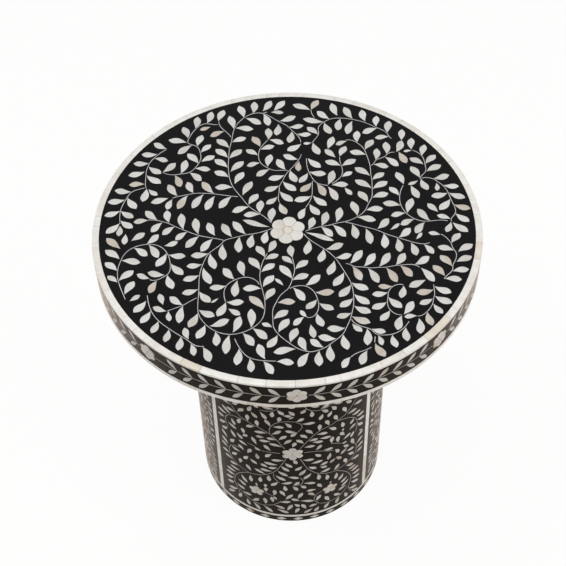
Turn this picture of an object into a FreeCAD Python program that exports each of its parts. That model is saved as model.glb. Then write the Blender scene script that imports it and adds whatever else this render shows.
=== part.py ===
import FreeCAD, Part
import math
import os
from FreeCAD import Vector

# Round side table: a drum carries a thick round top, both skinned in black resin inlaid with bone.
# Millimetres, +Z up, origin on the floor under the drum's centre, front towards -Y.

# Driving dimensions
HEIGHT = 480.0
TOP_R = 225.0
TOP_THICK = 40.0
DRUM_R = 125.0
SKIN = 2.5
CHIP = 1.0
TOP_SKIN = 3.0
RIM_WIDTH = 8.0
TOP_BOARD_THICK = 18.0
PLATE_THICK = 18.0
WALL = 12.0
FIT = 0.3
FLOWER_AT = Vector(0.5, -7.5, 0)

# Heights worked out from the driving dimensions
FIELD_Z = HEIGHT - TOP_SKIN
BOARD_Z = FIELD_Z - TOP_BOARD_THICK
UNDERSIDE_Z = HEIGHT - TOP_THICK
CORE_R = TOP_R - SKIN
SHELL_R = DRUM_R - SKIN
BORE_R = SHELL_R - WALL

# Foot of the drum
PAD_THICK = 4.0
PAD_R = 15.0
PAD_CIRCLE_R = 88.0
BASE_LINE_Z = 15.5
PANEL_Z = 20.5
LOZENGE_LENGTH = 14.0
LOZENGE_HEIGHT = 8.5
LOZENGE_COUNT = 34
LOZENGE_SHIFT = 0.25

# Bone trim
RIM_PIECES = 44
STRIP_PIECES = 30
LINE_PIECES = 20
LOWER_STRIP = 6.0
UPRIGHT_WIDTH = 8.0
UPRIGHT_AT = 113.5
UPRIGHT_PIECES = 6
BONE_JOINT = 0.12
UNEVEN_WAVES = ((0.22, 2.4, 0.0), (0.14, 5.1, 1.0))

# Vine
STEM_WIDTH = 0.7
STEM_STEP = 1.0
STEM_GAP = 0.15
STRIP_STEPS = 9
STRIP_JOINT = 0.08
LEAF_GAP = 0.3
LEAF_START = 1.3
LEAF_NEAR = (0.33, 0.32)
LEAF_FAR = (0.69, 1.0)
LEAF_LEAN = 0.26
LEAF_DISCS = 13
LEAF_TIP_ROOM = 0.1
SHEET_MARGIN = 0.7
LEAN_REACH = 4.5
SHRINKS = (1.0, 0.9, 0.8, 0.7, 0.6)
FOOT_TRIMS = (0.0, 0.03, 0.06, 0.09, 0.12, 0.18)
TOP_LEAF_WIDTH = 9.3
TOP_LEAF_SLIM = 0.46
LONG_LEAF_SPREAD = 240.0
DRUM_LEAF_WIDTH = 5.8
DRUM_LEAF_SLIM = 0.55
EDGE_LEAF = (17.0, 5.8)
EDGE_LEAN = 0.4
EDGE_LEAF_ANGLE = 42.0

# Fixings
SCREW_R = 2.2
SCREW_HEAD_R = 4.5
SCREW_LENGTH = 30.0
SCREW_POINT = 4.0
SCREW_POINT_R = 0.4
SCREW_SLOT = (1.0, 7.0, 1.0)
PLATE_SCREWS = 6
PLATE_SCREW_CIRCLE_R = 70.0
DOWELS = 3
DOWEL_R = 4.0
DOWEL_LENGTH = 24.0
DOWEL_CIRCLE_R = 90.0
DOWEL_TURN = 30.0
CLEATS = 4
CLEAT_TURN = 45.0
CLEAT_SIZE = (34.0, 20.0, 30.0)
CLEAT_WELL = 12.0

# Stems of the top, each from its root to its end: x and y
TOP_STEMS = [
    [(-18, 4), (-20, 7), (-30, 18), (-43, 30), (-51, 43), (-63, 64), (-67, 79), (-68, 88), (-68.5, 97),
     (-68, 112), (-67, 128), (-65, 138), (-61.5, 161), (-50, 180), (-39, 187.5), (-27, 188), (-17, 182),
     (-7, 173), (5, 163), (9, 157), (15, 149), (20, 135)],
    [(21, -10), (25, -8), (40, -3.5), (53, -0.5), (57, 1), (67, 3), (75, 6), (81, 9.5), (91, 19),
     (96, 30), (100.5, 40), (102, 54), (102.5, 70), (102, 77), (102, 90), (99, 110), (96.5, 120),
     (89, 131), (82, 136), (75, 136.5)],
    [(-16, -4), (-23, -7), (-40, -12), (-47, -13), (-54, -15), (-63, -17.5), (-73, -22), (-75, -25),
     (-89, -39), (-96, -55), (-98, -62), (-99.5, -71), (-100, -90), (-100, -95), (-100.5, -120),
     (-100, -124), (-90, -142.5), (-81, -150), (-66, -155), (-52, -153), (-42, -148), (-30, -135),
     (-27, -122), (-27, -109), (-30, -92), (-32, -80), (-31.5, -67), (-27, -50), (-23.5, -42.5)],
    [(19, -14), (23, -20), (41, -37), (53, -51), (62, -70), (69, -88), (71, -103), (71, -108),
     (70, -121), (68, -130), (66.5, -136), (60, -152), (57, -158), (49, -166), (42, -172), (35, -177),
     (30, -179), (20, -181), (16, -180), (8, -176.5), (0, -170), (-13, -156.5), (-18, -146),
     (-18.5, -138), (-18, -122), (-14, -112), (-9, -102.5), (-1, -94), (4, -81), (7, -67), (6.5, -59),
     (5, -50)],
    [(-65.5, 147), (-72, 157), (-79, 167), (-80.5, 175)],
    [(-57, 47), (-64, 48), (-85, 52.5), (-97, 54), (-109, 54), (-118, 52), (-127, 50), (-134, 47.5)],
    [(-25, 188.5), (-23, 189.3), (-20.5, 189.8)],
    [(67, 2.5), (75, 0), (90, -6), (103, -11), (111, -16), (126, -23.5), (142, -30.5), (154, -34),
     (162, -32.5)],
    [(102.5, 92), (107, 96), (109, 100), (121, 107), (123.5, 110), (133, 113.5)],
    [(-73, -20.5), (-84, -17), (-102, -12), (-116, -5), (-130, 3), (-138, 8), (-145, 11), (-152, 13),
     (-161, 14)],
    [(-101, -103), (-109, -108), (-118, -114), (-126, -117.5), (-134, -121)],
    [(-33, -87), (-39, -79), (-49, -76), (-59, -79), (-69, -87), (-72, -100), (-70, -110)],
    [(67, -139), (69, -143), (81, -150.5), (87, -153.5), (92, -159.5), (101, -161.5), (110, -160.5),
     (119, -156), (125, -150), (129, -144)],
    [(91, -163), (90.5, -167), (90, -171)],
    [(65, -60), (70, -62), (73, -64), (85, -66), (89, -67), (102, -67), (109, -67), (120, -65),
     (126, -64.5), (141, -64.5), (147, -68)],
    [(1, -94), (7, -91), (18, -91), (28, -100), (31, -109), (32, -115), (30, -128), (25, -134),
     (19, -135)],
    [(-144, 129), (-153, 121), (-158.5, 114.5), (-164, 105), (-165, 101), (-167, 92), (-167, 86),
     (-167, 71), (-166, 65)],
    [(-166, 66), (-175, 63), (-182, 59.5), (-188, 49.5), (-194, 31), (-194, 13), (-193.5, 9)],
    [(-147, 90), (-133, 85.5), (-125, 86.5), (-116, 88.5), (-109, 95), (-105, 102), (-102.5, 108),
     (-102.5, 121), (-108, 133), (-113, 135.5), (-118, 139), (-117, 147), (-109, 163), (-97, 172),
     (-91, 171), (-82, 169.5)],
    [(20, 114), (16, 104), (6, 89), (0, 80), (-4, 70), (-7.5, 62), (-8, 54), (-9, 47), (-8, 36)],
    [(3, 87), (-1, 88), (-15, 89), (-20, 92), (-29, 101), (-32, 113), (-30, 125), (-25, 134),
     (-20.5, 140)],
    [(-181, -103), (-184, -95), (-190, -78), (-192, -62), (-189, -46), (-184, -35), (-176, -28),
     (-160, -23.5), (-146, -27), (-137, -38), (-133, -54), (-135, -68), (-140, -72.5), (-147, -76.5),
     (-155, -76)],
    [(-157, -98), (-155.5, -107), (-152.5, -118), (-143, -134), (-132, -144.5), (-119, -155),
     (-110, -162), (-108, -164), (-93, -170)],
    [(-60, -161), (-55, -173), (-45, -186), (-29, -191), (-16, -192)],
    [(160.3, -93.5), (160.5, -97), (160.5, -100), (160, -109), (159, -112), (157, -120), (150, -131),
     (141, -137), (139, -137)],
    [(127, -93), (120, -92.5), (114, -96), (109.5, -104), (108.5, -111), (107.5, -117), (110.5, -128.5),
     (122, -135)],
    [(86, -177), (81, -180), (71, -184), (64, -189)],
    [(173, -86), (175, -83), (184, -72), (184.5, -68), (188, -60), (189.5, -46), (188.5, -44),
     (186, -34), (182, -26), (176, -20)],
    [(32, 69), (31.5, 64), (30.5, 46), (26, 33), (22.5, 27)],
    [(26, 107), (26, 98), (28, 85), (32, 74), (36, 67), (43, 63), (50, 61)],
    [(55, 64), (62, 70), (67, 77), (68.5, 85), (67.5, 93), (66, 104), (66, 108)],
    [(34, 134), (38, 140), (42, 148), (42, 155)],
    [(131, 137), (128, 142), (126, 147), (114, 157), (101, 166), (87, 172), (70, 175.5), (57, 174),
     (50, 169.5), (44, 163), (42, 156)],
    [(38, 178), (35.5, 184), (34.5, 191)],
    [(160, 67.5), (160.5, 70), (167, 79), (168, 92), (165.5, 106), (161, 112), (155, 116)],
    [(186, 0), (166, 0.5), (158, 0.5), (149, 4), (141, 11), (134, 26), (133.5, 41), (139, 58)],
    [(160, 68), (164, 69.5), (175, 67.5), (181, 62), (186, 56), (191, 44), (193, 34), (195, 26),
     (195.5, 11), (190, 2), (190, -1)],
]

# Leaves of the top: base x, y and tip x, y
TOP_LEAVES = [
    (-144, 130, -160, 140), (-155, 121, -174, 121), (-159, 114, -141.5, 109), (-164, 106, -183, 106),
    (-164, 100, -149, 88), (-169, 92, -188, 86), (-166, 85.5, -148.5, 72), (-167.5, 71, -186.5, 71),
    (-148, 90, -132, 105), (-183, 59.5, -203, 62.5), (-189.5, 47, -210, 43.5), (-187, 50, -176, 32),
    (-165.5, 64, -169, 43), (-165, 65, -152, 52.5), (-194.5, 29.5, -212.5, 22), (-194, 29.5, -178.5, 18),
    (-194, 10, -209, -5), (-194, 15, -178.5, 2), (-193.5, 7.5, -194, -10), (-118.5, 147.5, -124.5, 167),
    (-110, 163, -107, 184.5), (-95.5, 172.5, -89.5, 193), (-81, 176, -74.5, 195.5),
    (-91, 166, -104, 161), (-74, 157.5, -91, 149.5), (-120, 139.5, -142, 145),
    (-112, 135.5, -130, 120.5), (-107, 130.5, -101, 152), (-101.5, 122, -90, 135),
    (-104.5, 103, -118, 120.5), (-101, 106, -85, 115.5), (-125.5, 87.5, -119.5, 109.5),
    (-109, 95, -90, 92.5), (-115.5, 89, -100.5, 74.5), (-132.5, 85, -125, 65.5),
    (-128, 50.5, -140, 69.5), (-109, 54, -117, 73), (-85, 53, -99.5, 72.5), (-62, 62, -84, 63),
    (-67.5, 79, -85, 89.5), (-69, 95, -85, 109.5), (-69.5, 112, -84, 127), (-67.5, 128, -83, 144),
    (-65, 137.5, -47, 145.5), (-67.5, 110, -52, 125), (-65.5, 88, -50, 105), (-60.5, 68, -50, 87),
    (-51, 49, -40, 71), (-62.5, 162, -67.5, 184.5), (-59.5, 162.5, -38, 160), (-49.5, 180, -55.5, 202.5),
    (-47, 179.5, -28, 169), (-38.5, 186.5, -36, 209), (-26, 192, -15, 210), (-12, 192, 2, 209.5),
    (-20, 189.5, 0, 188), (-25, 186.5, -18.5, 165.5), (-7, 167.5, -9.5, 148), (-20, 139, -19.5, 161),
    (-18, 140.5, -1, 133.5), (-30, 129, -39, 147), (-29, 124, -12.5, 130), (-32, 114, -47, 124.5),
    (-29, 102, -46, 97), (-21, 95, -17, 115.5), (0.5, 89, -9.5, 107), (-18, 90.5, -35, 80),
    (-1.5, 80, -20.5, 74), (-6, 64, -25.5, 55.5), (-8, 47, -23.5, 34), (-7.5, 35, -0.5, 17),
    (-44, 34, -33, 50.5), (-43, 30.5, -63.5, 23), (-31, 17.5, -29.5, 40), (-30.5, 18, -50, 17.5),
    (-18, 4, -16, 27.5), (-20.5, -1.8, -51, 9.8), (-139, 47.5, -159, 41), (-134, 45.5, -140, 29.5),
    (-116, 51, -127.5, 30), (-97.5, 52, -110.5, 30.5), (-84, 49, -94.5, 27), (-64, 48, -79, 29.5),
    (-136.5, 9, -140, 28), (-150.5, 14, -165, 28), (-160.5, 13, -178, 11), (-144.5, 9, -157, -5),
    (-119.5, -2, -123, 22.5), (-102, -10, -106.5, 14.5), (-129.5, 2.5, -144, -9.5), (-83, -13, -91.5, 7),
    (-63.5, -15.5, -75, 5), (-47.5, -12, -62.5, 8), (-5, 173.5, 15, 180.5), (5, 162, 24, 164),
    (9.5, 154, 5.5, 134.5), (15, 149.5, 33, 148), (20, 132, 3, 121), (33, 134, 23, 132.3),
    (35, 133.5, 41.5, 113), (42, 147, 28.5, 161), (34, 191, 12, 202.5), (35, 192, 44, 209),
    (57.5, 174, 42, 189), (50, 169.5, 24, 176), (67, 180, 60.5, 202.5), (85.5, 174, 76, 195),
    (101, 169, 97.5, 189), (114, 159, 115.5, 177.5), (127, 147.5, 130.5, 168), (50.5, 168, 57, 148),
    (70.5, 174, 66, 154), (85, 169.5, 77, 147), (114.5, 155.5, 96, 148), (129.5, 140.5, 111, 139),
    (143, 134, 145, 152.5), (135, 114, 143.5, 133), (123, 110, 123.5, 131.5), (154, 117.5, 155.5, 137),
    (157.5, 116, 144, 114.5), (165.5, 105, 170.5, 125), (169, 93, 182, 107), (166, 92, 150.5, 103),
    (138, 114, 146, 94.5), (120.5, 106, 136, 90), (106, 94, 124, 89), (109, 100, 112, 120.5),
    (97.5, 119, 108.5, 136), (99, 110, 79, 117), (89, 131, 90, 152), (79, 136, 62.5, 129),
    (52.5, 122.5, 60, 143), (66, 108, 74.5, 126), (61, 107.5, 49, 121.5), (67.5, 92.5, 48.5, 102),
    (68, 92.5, 85.5, 103), (100.5, 75.5, 83.5, 89.5), (67.5, 74.5, 80, 82.5), (50, 62.5, 57.5, 85.5),
    (29, 84.5, 48.5, 80), (28, 107, 42.5, 91), (15.5, 106, -2, 114), (17.5, 104.5, 15.5, 86),
    (5.5, 89.5, 12.5, 68), (28, 84.5, 16, 67), (31, 67, 17, 52.5), (-3, 69.5, 12, 54),
    (36, 67, 46, 44.5), (50, 59, 60, 37), (55, 61.5, 74, 62), (68, 59.5, 77.5, 45), (-7, 53.5, 7.5, 37),
    (30, 45, 9.5, 38), (32, 45, 47, 29), (27.5, 32, 38, 14.5), (23, 27, 14.5, 9), (24.5, -7, 31, 11),
    (39.5, -3, 47, 19), (57, 3, 63, 25.5), (82, 11, 77, 34.5), (95.5, 32.5, 85.5, 50.5),
    (101, 55, 82.5, 69), (102.5, 68, 118, 79.5), (103, 54, 121, 65), (101, 39.5, 120.5, 46),
    (91, 20, 112.5, 22), (81, 9.5, 103, 4), (139.5, 60, 132.5, 80), (134, 40, 122.5, 56),
    (135, 25.5, 113, 31), (140.5, 14, 148, 37), (139.5, 14, 121, 10.5), (166, 0.5, 152.5, 20),
    (148, 57.5, 155.5, 37), (160, 67, 145, 59), (159.5, 70, 150.5, 89), (161, 67.5, 167.5, 49.5),
    (169, 80, 187, 90), (174, 67.5, 195, 73), (178.5, 60.5, 178.5, 48), (185, 57, 204.5, 54),
    (190.5, 44, 170.5, 39), (192, 44, 210, 35.5), (192, 34, 178, 17.5), (195.5, 25.5, 214, 18),
    (176, 14.5, 165, 28), (190, 2.5, 174.5, 9.5), (195.5, 12, 210.5, -2), (149, 4.5, 131, -4),
    (104, -9, 118, 6), (-186, -7, -187, -23), (-191, -29, -208, -12.5), (-179, -17.5, -164, -6),
    (-191, -44.5, -208, -30.5), (-192, -62.5, -207, -49), (-191.5, -78.5, -203, -68.8),
    (-189.5, -76, -174, -62), (-189, -47, -167, -50.5), (-176, -28, -159.5, -41), (-159, -24, -147, -44),
    (-161, -22.5, -148, -9), (-114, -5.5, -128.5, -18), (-144, -27.5, -125.5, -21),
    (-100.5, -12.5, -116.5, -30), (-135, -40, -116, -43), (-138, -38, -149, -57),
    (-132.5, -53, -118, -70), (-139, -69.5, -158, -65.5), (-155.5, -74, -170, -67.5),
    (-135.5, -70, -129, -90), (-147, -78, -155, -95), (-182, -96, -172.5, -77.5),
    (-176, -105.5, -165, -97.5), (-89.5, -39.5, -110, -42.5), (-85.5, -18, -99, -36.5),
    (-74, -26.5, -73, -50), (-54.5, -15.5, -56, -39.5), (-39, -11, -43, -33), (-22.5, -7.5, -27, -27),
    (-22.5, -40, -14, -23), (-26.5, -47, -35.5, -30.5), (-26, -51, -10.5, -44), (-88, -40, -82.5, -63),
    (-95, -55, -114.5, -58), (-95.5, -60.5, -87, -84.5), (-99.5, -71, -118, -78),
    (-30.5, -68, -44, -47.5), (-30, -69, -15, -57.5), (-49, -76, -54.5, -52), (-60.5, -78.5, -73, -62),
    (5, -58.5, -6.5, -47), (3.5, -80, -9.5, -60), (-28.5, -90.5, -16.5, -74.5),
    (-2.5, -94, -15, -79), (-69, -87.5, -88, -90), (-57, -80.5, -60.5, -103.5), (-30.5, -93, -51, -92),
    (-26, -109.5, -16, -93), (-99.5, -91, -118.5, -97), (-99.5, -94.5, -87, -110.5),
    (-72, -99.5, -86, -111), (-69.5, -110.5, -50, -111), (-27.5, -122.5, -44, -103),
    (-158, -106, -171, -121.5), (-139, -112, -143.5, -96.5), (-134.5, -121, -150, -115),
    (-116, -114, -132, -101), (-116.5, -113, -121, -138), (-132.5, -120, -131, -135),
    (-152.5, -120.5, -162.5, -136.5), (-142.5, -132.5, -150, -150.5), (-131, -144, -135, -163),
    (-109.5, -160, -114.5, -144.5), (-118, -155.5, -120.5, -174.5), (-107.5, -164.5, -103, -182),
    (-94.5, -170, -86, -190.5), (-100, -124, -110, -144), (-99, -120.5, -82, -130),
    (-70, -111, -79, -130), (-67, -120, -54, -129), (-87, -143, -66, -135), (-62, -152.5, -54, -131),
    (-42.5, -147.5, -42, -121), (-92, -141, -101, -159.5), (-81, -150.5, -79.5, -170),
    (-65.5, -156, -70, -181), (-52, -153, -39.5, -171), (-40.5, -148, -25, -162.5),
    (-19.5, -147, -30.5, -141.2), (-14, -158, -25, -174), (-17.5, -136, -1.5, -124.5),
    (-12.5, -154, -1, -136), (0, -168, 7.5, -149), (5, -177, -18.5, -180.5), (-27.5, -189, -34.5, -169),
    (-55.5, -174.5, -58, -196), (-44.5, -184, -42.5, -205.5), (-30, -191, -19.5, -208.5),
    (-17, -192.5, 3, -195), (-12.5, -113.5, 6.5, -112.5), (39.5, -4.5, 52, -19), (52.5, -1, 67, -20),
    (75, -0.5, 79, -23.5), (90.5, -8.5, 95, -32), (21.5, -12.2, 53, -25.5), (24.5, -22, 20.5, -45),
    (43, -38, 63.5, -30.5), (40.5, -38, 35.5, -57), (53.5, -51, 72, -47), (52, -55.5, 44.5, -76),
    (62, -73, 49.5, -92), (70, -88, 88, -98), (69, -90.5, 55, -107.5), (71, -103.5, 88, -118.5),
    (70, -110, 55, -121.5), (70.5, -120.5, 88.5, -130.5), (68, -130, 51, -135.5), (68, -135, 87, -144.5),
    (60, -150.5, 40, -150.5), (67.5, -145, 77.5, -156), (57, -159, 60.5, -179.5), (49, -164.5, 30, -161),
    (35, -175.5, 21, -164.5), (17, -179.5, 10, -161), (22, -142.5, 25.5, -163), (30, -130, 35.5, -148),
    (20, -135.5, 11.5, -125), (16, -134, 3.5, -145), (32, -115, 48.5, -125), (30.5, -110, 18, -123),
    (28, -100, 50, -100), (4, -92, 17, -111.5), (17.5, -91, 35.5, -75.5), (4.5, -82, 22.5, -74.5),
    (7, -67, 22.5, -54), (5.5, -51, 3, -31), (69.5, -60, 84.5, -41), (84.5, -65.5, 98.5, -46),
    (102, -65.5, 115.5, -46), (120.5, -64.5, 132.5, -47), (140.5, -65, 159.5, -53), (72, -64.5, 81, -85),
    (89, -67.5, 100, -89), (109.5, -67.5, 120.5, -89), (125.5, -65, 138, -81.5), (148.5, -69.5, 162, -89.5),
    (152, -87, 133, -96), (161, -96, 179, -106), (159.5, -101, 140.5, -105),
    (159.5, -112.5, 142.5, -120.5), (160.5, -110, 178, -120.5), (158, -121, 166.5, -134.5),
    (150, -131, 153.5, -150.5), (140, -140.5, 140, -161), (140, -137, 124.5, -137.5),
    (124, -134, 136, -116.5), (122, -136, 115.5, -155), (110, -127.5, 98, -142),
    (109.5, -110, 123, -125), (107, -116.5, 90, -125), (110, -103, 91.5, -105.5),
    (115.5, -94.5, 99, -94), (127.5, -92.5, 123, -111.5), (87.5, -152.5, 103, -157.5),
    (125, -148, 125, -170.5), (109.5, -160.5, 113, -178.5), (93.5, -159, 98, -175),
    (83, -151.5, 82, -174.5), (89.5, -170.5, 100, -190), (81.5, -181.5, 73.5, -199.5),
    (64.5, -187.5, 53.5, -203), (42.5, -172, 42.5, -194.5), (30.5, -180, 29.5, -200),
    (19.5, -182.5, 7.5, -200), (113.5, -15, 130, -2), (159, -1.5, 147, -17.5), (127, -23.5, 142, -9.5),
    (143.5, -30.5, 154.5, -17), (110.5, -16, 110.5, -39), (125.5, -24.5, 127, -45),
    (140.5, -32, 145.5, -51), (154.5, -34, 165, -49), (178, -22, 162, -17), (186.5, -34, 198, -19.5),
    (188, -45, 170.5, -38.5), (193, -47, 210.5, -36.5), (189.5, -62, 207.5, -54.5),
    (183.5, -68, 172, -51.5), (174, -82, 162.5, -66), (182.5, -75.5, 202, -73), (174, -86, 192.5, -87.5),
    (190, -0.5, 182.5, -17), (191.5, -2.5, 207.5, -17.5),
]

# Stems of a drum panel, as arc length from the panel's middle and height: right half, left half, scroll
PANEL_STEMS = [
    [(9, 191), (16, 203), (22, 212), (27, 219), (34, 226), (45, 230), (60, 235), (70, 239), (78, 246),
     (85, 256), (92, 264)],
    [(60, 234), (72, 230), (80, 225), (87, 217), (91, 208), (92, 198), (91, 188), (88, 180)],
    [(8, 170), (12, 161), (15, 152), (19, 141), (26, 131), (33, 123), (42, 118), (50, 115), (57, 114),
     (64, 109), (71, 102), (77, 94), (82, 84), (85, 74), (85, 64), (82, 55), (81, 48), (83, 40), (87, 33)],
    [(57, 114), (66, 115), (74, 117), (83, 120), (90, 126), (93, 136), (92, 147), (89, 155)],
    [(15, 182), (25, 181), (36, 178), (46, 172), (55, 168)],
    [(51, 187), (57, 183), (62, 180), (66, 176)],
    [(10, 119), (13, 112), (13, 105), (9, 101), (2, 100)],
    [(40, 74), (33, 71), (29, 65), (28, 57), (31, 49), (36, 42)],
    [(36, 42), (45, 38), (55, 38), (65, 40), (73, 46), (79, 53)],
    [(15, 289), (19, 281), (25, 276), (33, 273), (41, 274), (49, 277), (57, 281)],
    [(-10, 193), (-15, 203), (-20, 213), (-29, 225), (-38, 232), (-50, 237), (-62, 242), (-72, 248),
     (-78, 257), (-82, 265), (-83, 272)],
    [(-62, 241), (-73, 239), (-82, 236), (-88, 231), (-92, 223), (-92, 213), (-89, 203)],
    [(-9, 168), (-12, 160), (-16, 150), (-20, 141), (-26, 132), (-32, 126), (-42, 119), (-52, 115),
     (-60, 113), (-68, 108), (-76, 100), (-82, 90), (-85, 80), (-86, 70), (-83, 60), (-79, 52), (-79, 44)],
    [(-60, 113), (-68, 116), (-76, 119), (-83, 124), (-88, 132), (-91, 142), (-90, 152), (-86, 161),
     (-80, 165), (-73, 167)],
    [(-16, 181), (-25, 181), (-33, 181), (-40, 180)],
    [(-48, 186), (-55, 187), (-60, 189)],
    [(-26, 129), (-26, 121), (-23, 113), (-18, 107)],
    [(-40, 75), (-33, 71), (-27, 70)],
    [(-44, 38), (-36, 41), (-28, 45), (-22, 51), (-17, 58)],
    [(-44, 38), (-54, 39), (-62, 42), (-70, 48), (-78, 56)],
    [(-15, 290), (-21, 280), (-30, 276), (-40, 275)],
    [(-28, 225), (-29, 235), (-27, 242), (-22, 250), (-15, 255), (-5, 257), (5, 255), (11, 250), (13, 243),
     (11, 237), (7, 233)],
]

# Leaves of a panel: base and tip, as arc length and height
PANEL_LEAVES = [
    (21, 288, 34, 282), (17, 282, 11, 273), (24, 275, 25, 262), (37, 272, 46, 264), (39, 263, 35, 251),
    (36, 276, 48, 282), (50, 273, 57, 262), (51, 278, 66, 272), (51, 263, 46, 252), (71, 269, 80, 260),
    (72, 244, 67, 259), (60, 237, 55, 250), (47, 233, 43, 246), (34, 227, 35, 241), (26, 223, 17, 235),
    (19, 215, 10, 225), (14, 204, 5, 214), (0, 197, 4, 208), (12, 250, 29, 248), (5, 256, 15, 262),
    (31, 219, 46, 216), (21, 207, 33, 209), (35, 208, 51, 204), (26, 203, 40, 199), (15, 194, 29, 194),
    (30, 183, 38, 192), (29, 173, 37, 164), (13, 164, 28, 161), (24, 152, 40, 153), (21, 145, 31, 137),
    (36, 142, 47, 145), (36, 138, 46, 133), (36, 124, 51, 126), (12, 149, 3, 139), (17, 140, 8, 126),
    (24, 128, 14, 115), (33, 121, 35, 106), (45, 113, 47, 99), (60, 107, 59, 92), (56, 116, 64, 127),
    (76, 117, 72, 132), (75, 112, 88, 103), (84, 117, 99, 113), (79, 98, 93, 95), (84, 88, 99, 86),
    (87, 78, 102, 72), (87, 67, 102, 60), (86, 58, 100, 47), (82, 45, 97, 35), (86, 35, 100, 22),
    (71, 96, 64, 84), (78, 82, 68, 74), (81, 72, 69, 63), (77, 59, 64, 57), (69, 43, 57, 52),
    (51, 41, 44, 56), (32, 51, 37, 65), (30, 66, 20, 77), (31, 83, 18, 83), (39, 84, 33, 96),
    (39, 75, 35, 88), (50, 80, 52, 91), (14, 104, 30, 100), (0, 101, 8, 109), (9, 99, 17, 91),
    (-1, 98, 6, 87), (6, 65, 12, 80), (8, 59, -3, 65), (9, 59, 28, 53), (33, 42, 21, 40),
    (17, 35, 11, 49), (1, 51, 8, 43), (2, 26, 7, 39), (26, 33, 14, 24), (35, 34, 29, 23),
    (51, 36, 43, 24), (66, 39, 61, 24), (75, 40, 79, 26), (52, 187, 53, 202), (62, 182, 61, 197),
    (71, 192, 64, 203), (67, 202, 69, 209), (78, 197, 89, 202), (69, 182, 81, 188), (62, 177, 75, 172),
    (41, 178, 54, 174), (50, 165, 47, 150), (57, 168, 63, 157), (70, 167, 78, 158), (76, 157, 66, 149),
    (75, 149, 88, 145), (58, 146, 50, 140), (59, 148, 67, 138), (78, 140, 88, 130), (89, 153, 83, 171),
    (94, 165, 104, 170), (93, 148, 104, 156), (94, 136, 106, 141), (93, 126, 105, 128),
    (92, 182, 103, 172), (93, 198, 103, 185), (92, 208, 106, 200), (90, 217, 104, 214),
    (82, 228, 97, 225), (74, 237, 90, 236), (84, 249, 99, 245), (66, 226, 69, 213), (47, 226, 58, 216),
    (85, 218, 80, 209), (86, 187, 82, 176), (1, 167, 5, 155),
    (-22, 283, -37, 284), (-19, 284, -10, 271), (-23, 277, -25, 264), (-11, 270, -1, 268),
    (-4, 280, 3, 270), (-9, 259, 2, 267), (-18, 253, -15, 266), (-9, 253, -1, 243), (-27, 241, -34, 256),
    (-43, 233, -45, 250), (-57, 241, -57, 256), (-71, 253, -62, 265), (-69, 274, -78, 265),
    (-51, 278, -56, 265), (-52, 265, -44, 255), (-40, 271, -32, 257), (-50, 285, -42, 279),
    (-66, 275, -55, 282), (-82, 259, -98, 262), (-75, 248, -89, 248), (-82, 238, -97, 246),
    (-89, 232, -105, 233), (-91, 222, -106, 219), (-91, 212, -104, 202), (-90, 200, -100, 190),
    (-92, 173, -101, 185), (-92, 157, -102, 168), (-93, 148, -104, 155), (-89, 136, -103, 138),
    (-83, 125, -99, 127), (-77, 118, -91, 115), (-75, 107, -91, 106), (-82, 97, -98, 95),
    (-84, 87, -100, 84), (-87, 77, -101, 69), (-86, 66, -99, 57), (-81, 53, -97, 42), (-86, 42, -99, 30),
    (-67, 240, -72, 226), (-48, 234, -60, 227), (-32, 225, -49, 222), (-82, 229, -77, 217),
    (-88, 215, -75, 209), (-64, 207, -66, 219), (-67, 200, -59, 207), (-75, 201, -67, 192),
    (-57, 189, -60, 202), (-47, 192, -53, 207), (-85, 200, -78, 187), (-60, 181, -73, 185),
    (-39, 180, -50, 183), (-80, 180, -87, 169), (-66, 166, -74, 174), (-61, 163, -55, 176),
    (-48, 170, -46, 157), (-72, 157, -85, 158), (-60, 155, -67, 144), (-58, 151, -48, 143),
    (-77, 149, -86, 139), (-74, 128, -72, 140), (-57, 120, -64, 132), (-28, 185, -37, 196),
    (-27, 177, -36, 167), (-14, 197, -30, 202), (-20, 212, -33, 214), (-28, 207, -43, 204),
    (-36, 214, -47, 212), (-26, 225, -14, 235), (-17, 213, -7, 224), (-11, 203, -1, 215),
    (-24, 242, -10, 243), (5, 232, -9, 235), (7, 231, -2, 222), (-12, 165, -28, 162), (-20, 152, -38, 153),
    (-21, 145, -32, 141), (-32, 142, -43, 147), (-28, 134, -44, 134), (-37, 124, -52, 130),
    (-10, 158, -1, 147), (-15, 150, -5, 137), (-20, 137, -7, 125), (-23, 125, -10, 113),
    (-7, 123, 8, 119), (-32, 122, -32, 107), (-44, 113, -45, 99), (-59, 108, -58, 92), (-73, 99, -65, 84),
    (-79, 82, -67, 74), (-82, 67, -69, 62), (-73, 54, -59, 54), (-59, 41, -48, 52), (-39, 43, -40, 59),
    (-28, 52, -30, 66), (-20, 54, -27, 68), (-27, 70, -25, 86), (-11, 72, -18, 86), (-11, 63, -1, 77),
    (-37, 77, -37, 88), (-39, 87, -37, 97), (-49, 79, -51, 93), (-16, 105, -1, 109), (-20, 109, -30, 96),
    (-12, 100, -10, 86), (-19, 54, -4, 57), (-27, 45, -12, 37), (-9, 33, -2, 49), (-23, 35, -7, 26),
    (-42, 37, -29, 24), (-57, 37, -47, 23), (-67, 39, -63, 25), (-76, 47, -80, 32),
    (11.5, 57.5, 25, 54.8),
]

# The part of a panel below this height is repeated upside down above the upper flower
MIRROR_BELOW = 190.0
PANEL_MIDDLE_Z = 240.0
PANEL_FLOWER_Z = 180.0
PANEL_FLOWER_R = 14.5
SMALL_FLOWER_AT = (51.0, 73.0)
SMALL_FLOWER_R = 11.0
SMALL_PETALS = 5
SMALL_FLOWER_TURN = 90.0

# Edge band
EDGE_FLOWERS = 8
EDGE_FLOWER_R = 11.8
EDGE_FLOWER_ARC = 5.0
EDGE_FIRST = 16.7
EDGE_MIDDLE_Z = 461.8

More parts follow.
